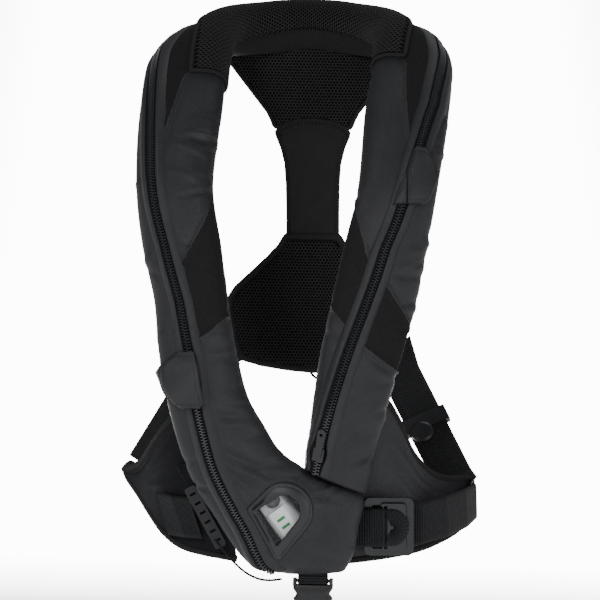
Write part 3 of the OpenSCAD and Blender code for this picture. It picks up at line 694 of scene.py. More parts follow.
def slackened(base, slack, free, pressure):
    """Cloth simulation of a closed tube of fabric that is longer than the space it is held in.

    base and slack are (rows, columns, 3) grids: where it lies, and the shape it was cut to.
    free is 0 where it is sewn down. Returns how far each point moves."""
    rows, columns = base.shape[:2]
    mesh = bpy.data.meshes.new("slack")
    mesh.from_pydata((base.reshape(-1, 3) * MM).tolist(), [], grid_faces(rows, columns, closed=True))
    obj = bpy.data.objects.new("slack", mesh)
    bpy.context.scene.collection.objects.link(obj)
    obj.shape_key_add(name="held")
    cut = obj.shape_key_add(name="cut")
    cut.data.foreach_set("co", (slack * MM).ravel())
    group = obj.vertex_groups.new(name="sewn")
    for k, w in enumerate(1 - free.ravel()):
        group.add([k], float(w), "REPLACE")
    cloth = obj.modifiers.new("cloth", "CLOTH")
    settings = cloth.settings
    settings.quality = 6
    settings.mass = 0.25
    settings.tension_stiffness = settings.compression_stiffness = 18
    settings.shear_stiffness = 6
    settings.bending_stiffness = 0.35
    settings.use_pressure = True
    settings.uniform_pressure_force = pressure
    settings.vertex_group_mass = "sewn"
    settings.rest_shape_key = cut
    settings.effector_weights.gravity = 0
    cloth.collision_settings.use_collision = False
    cloth.point_cache.frame_start, cloth.point_cache.frame_end = 1, 20
    scene = bpy.context.scene
    for at in range(1, 21):
        scene.frame_set(at)
    held = obj.evaluated_get(bpy.context.evaluated_depsgraph_get())
    done = held.to_mesh()
    moved = np.zeros(rows * columns * 3)
    done.vertices.foreach_get("co", moved)
    held.to_mesh_clear()
    scene.frame_set(1)
    bpy.data.objects.remove(obj)
    bpy.data.meshes.remove(mesh)
    return moved.reshape(base.shape) / MM - base


def finer(grid):
    """A grid with twice the rows, closed columns doubled, smoothed once."""
    rows = np.repeat(grid, 2, axis=0)[:-1]
    rows[1::2] = (grid[:-1] + grid[1:]) / 2
    both = np.repeat(rows, 2, axis=1)
    both[:, 1::2] = (rows + np.roll(rows, -1, axis=1)) / 2
    around = (np.roll(both, 1, axis=1) + 2 * both + np.roll(both, -1, axis=1)) / 4
    around[1:-1] = (around[:-2] + 2 * around[1:-1] + around[2:]) / 4
    return around


def build_cover():
    fine_s = np.linspace(0, LAST, 1400)
    middle = cover_at(fine_s, 90)
    along = lengths(middle)
    rows = 2 * int(along[-1] / 4.6) + 1
    s = np.interp(np.linspace(0, along[-1], rows), along, fine_s)
    fine_a = np.linspace(-90, 270, 1441)
    round_it = lengths(cover_at(8.0, fine_a))
    columns = 96
    a = np.interp(np.linspace(0, round_it[-1], columns + 1)[:-1], round_it, fine_a)
    S, A = np.meshgrid(s, a, indexing="ij")
    base = cover_at(S, A)
    out = grid_out(base)
    front = (A > -10) & (A < 190)

    zip_d = np.where(front, nearest(base, zip_points).reshape(S.shape), 60)
    seam_d = np.where(front, nearest(base, seam_points).reshape(S.shape), 60)
    x, z = base[..., 0], base[..., 2]
    near_bezel = inside(bezel_zone, x, z) & (base[..., 1] < -150)
    lining = (S > LINING_FROM - 0.2) & (S < LINING_TO + 0.2) & (A > LINING_ANGLES[0] - 6)
    free = ramp(zip_d, 11, 20) * ramp(seam_d, 1.0, 4.0) * np.where(near_bezel | lining, 0, 1)
    free *= ramp(A, -55, -25) * (1 - ramp(A, 200, 225)) * ramp(S, 0.1, 0.8) * (1 - ramp(S, 27.7, 27.95))
    free *= 1 - 0.85 * ramp(S, 13.4, 15) * (1 - ramp(S, 19, 20.6))

    moved = np.zeros_like(base)
    slack = base + 0.055 * (middle_of(S) - middle_of(np.zeros_like(S)))
    coarse = slackened(base[::2, ::2], slack[::2, ::2], free[::2, ::2], pressure=4)
    moved = finer(coarse)
    size = np.linalg.norm(moved, axis=-1, keepdims=True)
    moved *= np.minimum(1, 5.0 / np.maximum(size, 1e-6))
    moved *= ramp(free, 0, 0.35)[..., None]

    lift = -1.1 * bell(seam_d, 1.7) + 0.7 * bell(seam_d - 5, 3.0) * ramp(zip_d, 6, 12)
    lift -= 0.7 * bell(zip_d, 5.0)
    lift += 1.25 * folds(base, S, A) * free
    V, U = np.interp(S, s, np.linspace(0, along[-1], rows)), np.interp(A, fine_a, round_it)
    at = dict(zip((0, 90, 180), np.interp((0, 90, 180), fine_a, round_it)))
    end = along[-1]
    lift += wrinkles(V, U, [(0.05 * end, 0.2 * end, at[180], -1, 26), (0.2 * end, 0.36 * end, at[180], -1, 20),
                            (0.06 * end, 0.3 * end, at[0], 1, 10), (0.66 * end, 0.8 * end, at[0], 1, 14),
                            (0.8 * end, 0.99 * end, at[0], 1, 22), (0.84 * end, 0.98 * end, at[180], -1, 10)]) \
        * free * (1 - 0.75 * is_softshell(S, A))
    points = base + moved + out * lift[..., None]

    shell = np.where(is_softshell(S, A), 1.0, -1.0) * np.minimum(seam_d, 8)
    uv = flat_uv(np.linspace(0, round_it[-1], columns + 1)[:-1], along[-1] * np.linspace(0, 1, rows))
    caps = []
    for at, way in ((0, -1), (LAST, 1)):
        ring = points[0] if at == 0 else points[-1]
        centre = middle_of(np.array([float(at)]))
        _, run, _ = rib_frame(np.array([float(at)]))
        turn = np.radians([25, 50, 70, 86])
        cos, sin = np.cos(turn)[:, None, None], np.sin(turn)[:, None, None]
        cap = centre + (ring - centre)[None] * cos + way * run * 3.5 * sin
        caps.append(cap[::-1] if at == 0 else cap)
    body = np.concatenate([caps[0], points, caps[1]])
    nylon, far = (np.full((4, columns), v) for v in (-8.0, 8.0))
    shell = np.concatenate([nylon, shell, nylon])
    seams = np.concatenate([far, seam_d, far])
    uv = np.concatenate([np.repeat(uv[:1], 4, 0), uv, np.repeat(uv[-1:], 4, 0)])
    faces = grid_faces(len(body), columns, closed=True)
    flat = body.reshape(-1, 3)
    centre = flat[np.array(faces)].mean(1)
    hole = inside(window_hole, centre[:, 0], centre[:, 2]) & (centre[:, 1] < -160)
    faces = [f for f, gone in zip(faces, hole) if not gone]
    cover = piece("cover_fabric", flat, faces, cover_cloth,
                  replaces=["collar_cover", "left_lobe_cover", "right_lobe_cover", "inflator_cover"],
                  slot="nylon_charcoal", uv=uv.reshape(-1, 2),
                  attributes={"shell": shell.ravel(), "seam": seams.ravel()})
    return cover


def middle_of(s):
    r, _, _ = rib_frame(s)
    return (r[..., 0, :] + r[..., 1, :]) / 2


def folds(base, s, angle):
    """Folds where the lobe turns into the flap, as a lift in millimetres."""
    x, z = base[..., 0], base[..., 2]
    total = np.zeros(s.shape)
    for (x0, z0), (x1, z1), width, height in FOLDS:
        dx, dz = x1 - x0, z1 - z0
        size = math.hypot(dx, dz)
        t = ((x - x0) * dx + (z - z0) * dz) / size**2
        off = np.hypot(x - x0 - np.clip(t, 0, 1) * dx, z - z0 - np.clip(t, 0, 1) * dz)
        total += height * bell(off, width) * np.sin(math.pi * np.clip(t * 0.8 + 0.1, 0, 1))
    return np.where((angle > 0) & (angle < 180), total, 0)


def wrinkles(along, round_it, stretches):
    """Soft creases running in from a lobe's edge, as a lift in millimetres over (along, round)."""
    draw = np.random.default_rng(7)
    total = np.zeros(along.shape)
    for low, high, edge, way, count in stretches:
        for _ in range(count):
            v0, tilt = draw.uniform(low, high), draw.uniform(-0.5, 0.5)
            size, width = draw.uniform(18, 46), draw.uniform(2.6, 5.2)
            u0, height = edge + way * draw.uniform(-6, 10), draw.choice([-1, 1]) * draw.uniform(0.8, 1.9)
            dv, du = tilt * size, way * size
            t = np.clip(((along - v0) * dv + (round_it - u0) * du) / (dv * dv + du * du), 0, 1)
            off = np.hypot(along - v0 - t * dv, round_it - u0 - t * du)
            total += height * bell(off, width) * np.sin(math.pi * (0.12 + 0.78 * t))
    return total


# Ridges and dips of the cloth: two ends as (x, z), width and height
FOLDS = [
    ((-66, -352), (-14, -372), 5, 2.4), ((-62, -364), (-8, -384), 4, -1.8),
    ((-60, -374), (-20, -396), 4.5, 2.2),
    ((-20, -376), (20, -388), 4, 1.8), ((30, -396), (66, -404), 4, 1.6), ((50, -420), (78, -452), 5, 1.8),
    ((20, -452), (64, -466), 4.5, 1.6), ((-70, -318), (-30, -322), 4.5, 1.6),
    ((-98, -240), (-62, -236), 5, 1.5),
    ((70, -250), (52, -262), 4, 1.4), ((100, -300), (66, -318), 5, 1.6), ((96, -330), (62, -350), 4.5, 1.4),
]
cover = build_cover()


def cover_tree():
    mesh = cover.data
    points = [v.co / MM for v in mesh.vertices]
    return BVHTree.FromPolygons(points, [tuple(p.vertices) for p in mesh.polygons])


surface = cover_tree()


def laid_on(points, out, lift, far=14.0):
    """Points dropped onto the finished cover along -out, then lifted off it."""
    laid = []
    for p, n in zip(np.asarray(points, float), unit(out)):
        hit = surface.ray_cast(Vector(p + n * far), Vector(-n), 2.2 * far)[0]
        laid.append((np.array(hit) if hit else p) + n * lift)
    return np.array(laid)


# ---- Seam stitching ---------------------------------------------------------------------------
def offset_seam(name, gap):
    """A line beside a seam, gap millimetres along the cover."""
    s, w = seam_line(name, 1.6)
    line = on_face(s, w)
    out = face_out(s, np.clip(w, -0.97, 0.97))
    side = unit(np.cross(out, tangents(line)))
    return line + side * gap, out


def stitch_seams():
    build = Build()
    for name, gaps in (("right_shoulder", (2.6, -2.6)), ("left_shoulder", (2.6, -2.6)),
                       ("right_band_top", (-2.8,)),
                       ("right_band_low", (2.8,)), ("left_band_top", (2.8,)), ("left_band_low", (-2.8,))):
        for gap in gaps:
            line, out = offset_seam(name, gap)
            stitches(build, laid_on(line, out, 0.1), out)
    build.piece("seam_stitching", thread, slot="nylon_charcoal")


stitch_seams()


# ---- Zips -------------------------------------------------------------------------------------
def half_width(s):
    r = curve_at(STATIONS, s)
    return np.linalg.norm(r[..., 0, :] - r[..., 1, :], axis=-1) / 2


def zip_path(start, end, step):
    s = np.linspace(start, end, 1500)
    along = lengths(on_face(s, zip_share(s)))
    s = np.interp(np.linspace(0, along[-1], int(along[-1] / step) + 1), along, s)
    return s, zip_share(s)


# A tooth's levels: height, its two ends across the chain, half its length along it
TOOTH = ((1.4, 3.7, -0.9, 0.78), (3.4, 3.6, -1.0, 0.78), (4.5, 2.7, -0.6, 0.42))
# A lip's section: distance from the chain's middle, and height
LIP = [(5.3, 0.2), (4.8, 1.3), (5.0, 2.8), (5.8, 3.7), (7.2, 3.6), (9.0, 2.8), (11.0, 1.8), (12.8, 0.8),
       (14.4, -0.8)]


def build_zip(name, start, end, slider, replaced):
    """Teeth, tape, the two cloth lips beside them, and the lips' stitching."""
    s, w = zip_path(start, end, 1.5)
    path, out = on_face(s, w), face_out(s, np.clip(w, -0.95, 0.95))
    across = unit(np.cross(out, tangents(path)))
    teeth = Build()
    run = tangents(path)
    for k in range(len(path)):
        side = 1 if k % 2 else -1
        ring = [(x, y, h) for h, x0, x1, half in TOOTH
                for x, y in ((x0, -half), (x1, -half), (x1, half), (x0, half))]
        tooth = [path[k] + across[k] * side * x + run[k] * y + out[k] * h for x, y, h in ring]
        teeth.add(tooth, grid_faces(3, 4, closed=True) + [(8, 9, 10, 11)])
    teeth.piece(name + "_teeth", tooth_plastic, replaces=[replaced], slot="zip_chain", smooth=False)

    s, w = zip_path(start, end, 3.0)
    path = on_face(s, w)
    wide = half_width(s)
    gap = 3.4 * bell(np.abs(lengths(path) - np.interp(slider, s, lengths(path))), 10.0)
    tape, lips = Build(), Build()
    flat = np.stack([on_face(s, np.clip(w + x / wide, -1, 1), 2.0 - 0.04 * abs(x))
                     for x in np.linspace(-7, 7, 5)], 1)
    tape.grid(flat, flat_uv(np.linspace(0, 14, 5), lengths(path)))
    tape.piece(name + "_tape", tape_cloth, slot="zip_chain")
    for side in (-1, 1):
        rows = []
        wave = 0.25 * np.sin(lengths(path) / 9.0 + side) + 0.2 * np.sin(lengths(path) / 23.0)
        for x, lift in LIP:
            move = side * (x + gap * max(0, 1 - (x - 3) / 9)) / wide
            high = lift * (1 + 0.12 * wave) + (0.2 if side > 0 else 0)
            rows.append(on_face(s, np.clip(w + move, -1, 1), high))
        rows = np.stack(rows, 1)
        if side < 0:
            rows = rows[:, ::-1]
        lips.grid(rows, flat_uv(lengths(np.array(LIP)), lengths(path)))
    lips.piece(name + "_placket", nylon_cloth, slot="nylon_charcoal")
    rows = Build()
    for side in (-1, 1):
        line = on_face(s, np.clip(w + side * (8.6 + gap * 0.3) / wide, -1, 1), 2.3)
        stitches(rows, line, face_out(s, np.clip(w, -0.95, 0.95)), length=2.0, gap=1.4, radius=0.3)
    rows.piece(name + "_stitching", thread, slot="nylon_charcoal")


build_zip("right_zip", 0.67, NAPE_AT, 25 / 3, "right_zip")
build_zip("left_zip", NAPE_AT, LAST, 82 / 3, "left_zip")


# ---- Slabs of fabric and webbing --------------------------------------------------------------
def slab(build, grid, thick, soft=0.35):
    """A closed sheet of even thickness round a grid of points, thinner at its two long edges."""
    rows, columns = grid.shape[:2]
    out = grid_out(grid)
    share = np.linspace(-1, 1, columns)
    taper = np.maximum(np.sqrt(np.clip(1 - share**14, 0, 1)), soft)[None, :, None]
    top, low = grid + out * thick / 2 * taper, grid - out * thick / 2 * taper
    ring = np.concatenate([top, low[:, ::-1]], 1)
    across = lengths(grid[rows // 2])
    base = build.count
    uv = flat_uv(np.concatenate([across, across[::-1]]), lengths(grid[:, columns // 2]))
    build.grid(ring, uv, closed=True)
    n = 2 * columns
    build.faces.append(tuple(base + k for k in range(n)))
    build.faces.append(tuple(base + (rows - 1) * n + k for k in reversed(range(n))))


def band_grid(ribs, rows_each, columns, smooth=True):
    """Grid between the two edges of a band, given as [edge, other edge] ribs."""
    ribs = np.asarray(ribs, float)
    s = np.linspace(0, len(ribs) - 1, rows_each * (len(ribs) - 1) + 1)
    if smooth:
        edges = curve_at(ribs, s)
    else:
        flat = ribs.reshape(len(ribs), -1).T
        edges = np.stack([np.interp(s, range(len(ribs)), values) for values in flat], -1).reshape(-1, 2, 3)
    t = np.linspace(0, 1, columns)[None, :, None]
    return edges[:, :1] * (1 - t) + edges[:, 1:] * t


# ---- Zip tabs ---------------------------------------------------------------------------------
def build_tab(name, body, replaced, inner, outer, lift, hinge_outer, hinge, way):
    """Fabric tab over a zip. inner and outer give its two edges' shares by station.

    hinge is a point on the tab's fold and way the fold's direction. The hem on the sewn side of
    the fold stays on the jacket, and the flap beyond it turns."""
    stations = [at for at, _ in inner]
    s = np.linspace(min(stations), max(stations), 26)
    low, high = table(sorted(inner))(s), table(sorted(outer))(s)

    def lay(t):
        S = np.repeat(s[:, None], t.shape[1], 1)
        W = low[:, None] * (1 - t) + high[:, None] * t
        ends = np.minimum(S - s[0], s[-1] - S) / (s[-1] - s[0])
        crown = ramp(np.minimum(ends, np.minimum(t, 1 - t)) * 6, 0, 1)
        sewn = t if hinge_outer else 1 - t
        height = lift - 3.2 * ramp(sewn, 0.72, 1.0) + 1.1 * crown + 0.25 * np.sin(9 * S + 5 * W)
        return on_face(S, W, height), S, W

    t = np.linspace(0, 1, 22)
    whole = lay(np.tile(t, (len(s), 1)))[0]
    free = whole[13, 0 if hinge_outer else -1]
    across = unit(np.cross(way, face_out(s[13], (low[13] + high[13]) / 2)))
    across *= np.sign(across @ (free - hinge))
    off = (whole - hinge) @ across
    turn = -1 if hinge_outer else 1
    fold = np.clip([np.interp(0, row[::turn], t[::turn]) for row in off], 0.03, 0.97)[:, None]
    near, far = fold * np.linspace(0, 1, 20), fold + (1 - fold) * np.linspace(0, 1, 20)
    flap, hem = (near, far) if hinge_outer else (far, near)
    sheet(name + "_hem", lay(hem[:, ::3])[0], 1.5, nylon_cloth, slot="nylon_charcoal")
    grid, S, W = lay(flap)
    sheet(name, grid, 1.5, nylon_cloth, replaces=[replaced], body=body, slot="nylon_charcoal")
    out = grid_out(grid)
    out *= np.sign((out * face_out(S, W)).sum(-1, keepdims=True))
    k0, k1, j0, j1 = 2, len(s) - 3, 2, grid.shape[1] - 3
    loop = [(k, j0) for k in range(k0, k1)] + [(k1, j) for j in range(j0, j1)] \
        + [(k, j1) for k in range(k1, k0, -1)] + [(k0, j) for j in range(j1, j0 - 1, -1)]
    rows = Build()
    stitches(rows, np.array([grid[at] + 0.85 * out[at] for at in loop]), np.array([out[at] for at in loop]),
             length=1.9, gap=1.3, radius=0.32)
    rows.piece(name + "_stitching", thread, body=body, slot="nylon_charcoal")


build_tab("right_tab_flap", "right_tab", "right_zip_tab",
          [(7.8, 0.02), (7.95, -0.12), (8.28, -0.13), (8.65, -0.18), (8.97, -0.16)],
          [(7.8, 0.42), (7.9, 0.62), (8.1, 0.76), (8.55, 0.92), (8.7, 0.72), (8.97, 0.2)], 10.2, True,
          [-116.8, -172.1, -289.2], [0.004, -0.125, -0.992])
build_tab("left_tab_flap", "left_tab", "left_zip_tab",
          [(21.63, 0.26), (21.9, 0.12), (22.2, -0.04), (22.33, -0.08)],
          [(21.63, 0.5), (21.7, 0.62), (21.8, 0.78), (21.92, 0.86), (22.02, 0.82), (22.26, 0.7), (22.33, 0.55)],
          6.6, False, [124.5, -127, -84.7], [0.07, -0.448, -0.891])


# ---- 3-D mesh ---------------------------------------------------------------------------------
def net(build, wanted, where, u_range, v_range, pitch=3.4, hole=0.66, crest=0.5, sink=-0.5):
    """Open honeycomb net: each cell is a six-sided strand round a hole, laid on a surface.

    wanted(u, v) says which cells exist, where(u, v, lift) puts points on the surface."""
    tall = pitch * math.sqrt(3) / 2
    corner = pitch / math.sqrt(3)
    rows = np.arange(v_range[0], v_range[1], tall)
    columns = np.arange(u_range[0], u_range[1], pitch)
    centre = np.array([(u + (pitch / 2 if k % 2 else 0), v) for k, v in enumerate(rows) for u in columns])
    centre = centre[wanted(centre[:, 0], centre[:, 1])]
    turn = np.radians(np.arange(6) * 60 + 30)
    ring = np.stack([np.cos(turn), np.sin(turn)], -1) * corner
    outer = centre[:, None] + ring[None]
    key = np.round(outer.reshape(-1, 2) / (pitch / 8)).astype(int)
    _, first, shared = np.unique(key, axis=0, return_index=True, return_inverse=True)
    shared = shared.reshape(-1, 6)
    flat = outer.reshape(-1, 2)[first]
    inner = (centre[:, None] + ring[None] * hole).reshape(-1, 2)
    uv = np.concatenate([flat, inner])
    lift = np.concatenate([np.full(len(flat), crest), np.full(len(inner), sink)])
    n = len(flat)
    faces = [(shared[c, k], shared[c, (k + 1) % 6], n + c * 6 + (k + 1) % 6, n + c * 6 + k)
             for c in range(len(centre)) for k in range(6)]
    build.add(where(uv[:, 0], uv[:, 1], lift), faces, uv)


def build_lining():
    low, high = LINING_ANGLES
    angles = np.linspace(low, high, 400)
    across = lengths(cover_at(16.0, angles))
    stations = np.linspace(LINING_FROM, LINING_TO, 600)
    along = lengths(cover_at(stations, 150.0))

    def where(u, v, lift):
        return cover_at(np.interp(v, along, stations), np.interp(u, across, angles), 3.0 + lift)

    build = Build()
    net(build, lambda u, v: (u > 2) & (u < across[-1] - 1) & (v > 2) & (v < along[-1] - 2), where,
        (0, across[-1]), (0, along[-1]))
    build.piece("collar_net", net_yarn, replaces=["collar_mesh"], slot="mesh_black")

    # Sheet just under the net: the backing layer, near black as painted shade in the net's holes.
    back = Build()
    S, A = np.meshgrid(np.linspace(LINING_FROM, LINING_TO, 90), np.linspace(low, high, 30), indexing="ij")
    back.grid(cover_at(S, A, 1.9), flat_uv(np.linspace(0, across[-1], 30), np.linspace(0, along[-1], 90)))
    back.piece("collar_mesh_backing_painted_shade", mesh_backing_painted_shade, slot="mesh_black")

    edge = [(LINING_FROM, a) for a in np.linspace(high, low, 30)]
    edge += [(s, low) for s in np.linspace(LINING_FROM, LINING_TO, 140)[1:-1]]
    edge += [(LINING_TO, a) for a in np.linspace(low, high, 30)]
    s, a = np.array(edge).T
    path = cover_at(s, a, 1.6)
    out = unit(cover_at(s, a, 5.0) - cover_at(s, a, 0.0))
    swept("collar_net_binding", path, out, oval(4.6, 3.2), softshell_cloth, slot="softshell_black")


build_lining()


# ---- Window and inflator ----------------------------------------------------------------------
def build_bezel():
    """Smooth plastic frame with a raised double rim, lying on the flap round the window."""
    centre = np.array([4.0, -419.0])
    turn = np.linspace(0, math.tau, 144, endpoint=False)
    near, far = reach(window_outline, centre, turn), reach(bezel_outline, centre, turn)
    way = np.stack([np.cos(turn), np.sin(turn)], -1)
    edge = centre + way * far[:, None]
    laid = laid_on(np.stack([edge[:, 0], np.full(len(edge), -185.0), edge[:, 1]], -1),
                   np.tile([0.0, -1.0, 0.0], (len(edge), 1)), 0.0)[:, 1]
    laid = np.minimum(laid, -170.0)
    for _ in range(12):
        laid = (np.roll(laid, 1) + 2 * laid + np.roll(laid, -1)) / 4
    flat = -178.1
    # distance in from the outer edge, or out from the window, then height above the flap
    profile = [("out", 0.2, -2.0), ("out", 0.0, 0.6), ("out", 0.5, 1.7), ("out", 1.6, 2.3), ("out", 2.8, 2.2),
               ("out", 3.4, 1.5), ("out", 4.0, 1.5), ("out", 4.6, 2.2), ("out", 6.0, 2.5), ("in", 5.0, 2.7),
               ("in", 2.4, 3.2), ("in", 1.2, 3.1), ("in", 0.4, 2.4), ("in", 0.0, 1.2), ("in", 0.0, -1.5)]
    rings = []
    for side, gap, height in profile:
        r = far - gap if side == "out" else near + gap
        share = (r - near) / (far - near)
        base = flat * (1 - share) + laid * share
        spot = centre + way * r[:, None]
        rings.append(np.stack([spot[:, 0], base - height, spot[:, 1]], -1))
    build = Build()
    build.grid(np.array(rings), closed=True)
    build.piece("window_frame", bezel_tpu, replaces=["window_bezel"], slot="bezel_charcoal")


build_bezel()


def paint(node_name, material):
    """Gives a CAD node the finished material."""
    mesh = nodes[node_name].data
    mesh.materials.clear()
    mesh.materials.append(material)


for names, material in (
        ("window_lens", clear_window()), ("inflator_body", white_plastic), ("status_strips", green_plastic),
        ("firing_lever sensor_cap bladder_manifold", knob_plastic), ("firing_pin firing_spring", steel),
        ("water_cartridge", yellow_plastic), ("gas_cylinder", cylinder_paint), ("folded_bladder", yellow_cloth),
        ("pull_toggle oral_cap", red_plastic), ("toggle_sleeve", nylon_cloth), ("oral_tube", rubber),
        ("oral_valve", brass), ("whistle", orange_plastic), ("lifting_loop", web_yarn),
        ("left_zip_slider right_zip_slider", slider_metal), ("belt_slider slider_stud", black_plastic),
        ("buckle_frame buckle_hook", steel), ("belt_grip", rubber)):
    for each in names.split():
        paint(each, material)


# ---- Waist webbing ----------------------------------------------------------------------------
WEB = 40
SLIDER_TOP, SLIDER_LOW = np.array([92.0, 68, -310]), np.array([154.0, -4, -402])
SLIDER_RUN = unit(SLIDER_LOW - SLIDER_TOP)
SLIDER_SIDE = unit(np.array([0.89, 0.28, 0.36]) - SLIDER_RUN * (SLIDER_RUN @ np.array([0.89, 0.28, 0.36])))


def across_web(centre, way):
    centre, way = np.asarray(centre, float), unit(way)
    return [centre + way * WEB / 2, centre - way * WEB / 2]


def belt(name, ribs, node_name, smooth=False):
    sheet(name, band_grid(ribs, 12, 15, smooth), 2.2, web_yarn, replaces=[node_name], slot="webbing_black")


belt("waist_web_back", [across_web([-84, 90.5, -286], [-0.3, 0, 0.954]),
                        across_web([-50, 91, -276], [0, 0, 1]), across_web([0, 91, -272], [0, 0, 1]),
                        across_web([50, 91, -276], [0, 0, 1]),
                        across_web([84, 90.5, -286], [0.3, 0, 0.954])], "belt_back", smooth=True)
side_ribs = [across_web([86, 89, -290], [0.6, 0.1, 0.8])] \
    + [across_web(SLIDER_TOP * (1 - t) + SLIDER_LOW * t, SLIDER_SIDE) for t in (0, 0.12, 0.88, 1)]
RIGHT_SIDE = [-0.846, -0.06, 0.53]
right_ribs = [across_web([-86, 89, -290], [-0.6, 0.1, 0.8]), across_web([-127, 61, -343], RIGHT_SIDE),
              across_web([-155, -13, -396], RIGHT_SIDE)]
belt("waist_web_left", side_ribs + [across_web([165, -24, -411], [0.75, 0.3, 0.55]),
                                   across_web([171, -44, -419], [0.35, 0.1, 0.9])], "belt_left")
belt("waist_web_right", right_ribs, "belt_right")
belt("waist_web_left_front", [
    [[94, -128, -410], [94, -128, -455]], [[112, -124, -412], [112, -124, -456]],
    [[136, -110, -413], [136, -112, -455]], [[158, -90, -409], [160, -90, -450]],
    [[174, -65, -405], [176, -63, -444]], [[182, -42, -403], [183, -42, -438]]], "belt_left_front")
belt("waist_web_right_front", [
    [[-94, -131, -409], [-80, -134.5, -450]], [[-114, -122.5, -409], [-98, -130.5, -450]],
    [[-131, -107.5, -408], [-117, -120.5, -449]]], "belt_right_front")


# ---- Side wings -------------------------------------------------------------------------------
def build_wing(name, ribs, node_name, cloth, gathers, flip):
    """Fabric wing. A gather is its two ends, as shares along and across, then its width and height."""
    grid = band_grid(ribs, 14, 40)
    rows, columns = grid.shape[:2]
    u, v = np.meshgrid(np.linspace(0, 1, columns), np.linspace(0, 1, rows))
    lift = np.zeros_like(u)
    for v0, u0, v1, u1, width, height in gathers:
        dv, du = v1 - v0, u1 - u0
        t = np.clip(((v - v0) * dv + (u - u0) * du) / (dv * dv + du * du), 0, 1)
        off = np.hypot(v - v0 - t * dv, u - u0 - t * du)
        lift += height * bell(off, width) * np.sin(math.pi * (0.12 + 0.8 * t))
    lift *= ramp(np.minimum(np.minimum(u, 1 - u), np.minimum(v, 1 - v)), 0, 0.08)
    out = grid_out(grid) * (-1 if flip else 1)
    grid = grid + out * lift[..., None]
    sheet(name, grid, 2.6, cloth, replaces=[node_name], slot="nylon_charcoal")
    binding = Build()
    for edge, side in ((grid[:, 0], out[:, -1]), (grid[:, -1], out[:, -1]), (grid[-1], out[-1])):
        path = even(edge[::3], 3.0)
        near = [np.argmin(np.linalg.norm(edge - p, axis=1)) for p in path]
        sweep(binding, path, side[near], oval(6.5, 4.6))
    binding.piece(name + "_binding", softshell_cloth, slot="softshell_black")


# The right wing takes the darker copy of the nylon: painted shade on this side.
build_wing("right_wing_fabric", [
    [[-70, -130, -318], [-46, -132, -470]], [[-100, -124, -322], [-96, -124, -462]],
    [[-120, -110, -340], [-122, -106, -450]], [[-139, -84, -365], [-142, -76, -434]],
    [[-156, -52, -388], [-158, -46, -420]], [[-176, -24, -398], [-173, -22, -408]]], "right_wing", wing_cloth_painted_shade,
    [(0.2, 0.1, 0.6, 0.3, 0.03, 2.0), (0.15, 0.3, 0.55, 0.45, 0.03, 2.2), (0.2, 0.5, 0.6, 0.6, 0.03, 1.8),
     (0.5, 0.1, 0.95, 0.4, 0.035, -1.8)], False)
build_wing("left_wing_fabric", [
    [[70, -130, -300], [62, -131, -470]], [[98, -122, -306], [98, -122, -466]],
    [[113, -108, -332], [130, -106, -461]], [[125, -90, -367], [152, -84, -454]],
    [[146, -64, -393], [168, -58, -445]], [[176, -28, -400], [179, -30, -428]]], "left_wing", nylon_cloth,
    [(0.35, 0.1, 0.8, 0.3, 0.03, 2.0), (0.3, 0.25, 0.7, 0.45, 0.03, 2.2),
     (0.25, 0.45, 0.6, 0.7, 0.03, 1.8)], True)


# ---- Back panel -------------------------------------------------------------------------------
BACK = 88
YOKE = [(0, 22), (60, 20), (83, 8), (82, 0), (45, -48), (41, -56), (38.5, -63)] \
    + [(38 * math.cos(a), -72 + 16 * math.sin(a)) for a in np.radians([30, 45, 60, 75, 90])]
SPINE = [(38 * math.cos(a), -72.3 + 16 * math.sin(a)) for a in np.radians([90, 75, 60, 45, 30, 15])] \
    + [(36, -72), (31, -84), (27, -100), (25.5, -120), (25, -148), (25, -174.7), (0, -174.7)]
PAD = [(0, -175), (25.5, -175), (32, -186), (44, -199), (62, -216), (76, -229), (82, -238), (83, -248),
       (81, -262), (78, -280), (75, -292), (70, -298), (52, -303), (25, -307), (0, -309)]


def outline_of(half):
    """Whole outline from its half, as even points."""
    half = np.array(half, float)
    whole = np.concatenate([half, half[::-1] * [-1, 1]])
    keep = np.concatenate([[True], np.linalg.norm(np.diff(whole, axis=0), axis=1) > 0.01])
    whole = whole[keep]
    whole = np.concatenate([whole, whole[:1]]) if np.linalg.norm(whole[0] - whole[-1]) > 0.01 else whole
    along = lengths(whole)
    at = np.linspace(0, along[-1], int(along[-1] / 2.5))[:-1]
    return np.stack([np.interp(at, along, whole[:, k]) for k in (0, 1)], -1)


def within(outline, x, z):
    """Whether points are inside a closed outline, by counting crossings."""
    ax, az = outline.T
    bx, bz = np.roll(outline, -1, axis=0).T
    x, z = np.asarray(x, float)[..., None], np.asarray(z, float)[..., None]
    slope = (bx - ax) / np.where(bz == az, 1e-9, bz - az)
    cross = ((az > z) != (bz > z)) & (x < slope * (z - az) + ax)
    return cross.sum(-1) % 2 == 1


def rim_distance(outline, x, z):
    """Distance from points to the nearest point of an outline."""
    points = np.stack([np.ravel(x), np.ravel(z)], -1)
    best = np.full(len(points), 1e9)
    for start in range(0, len(outline), 32):
        part = outline[start:start + 32]
        best = np.minimum(best, np.linalg.norm(points[:, None] - part[None], axis=2).min(1))
    return best.reshape(np.shape(x))


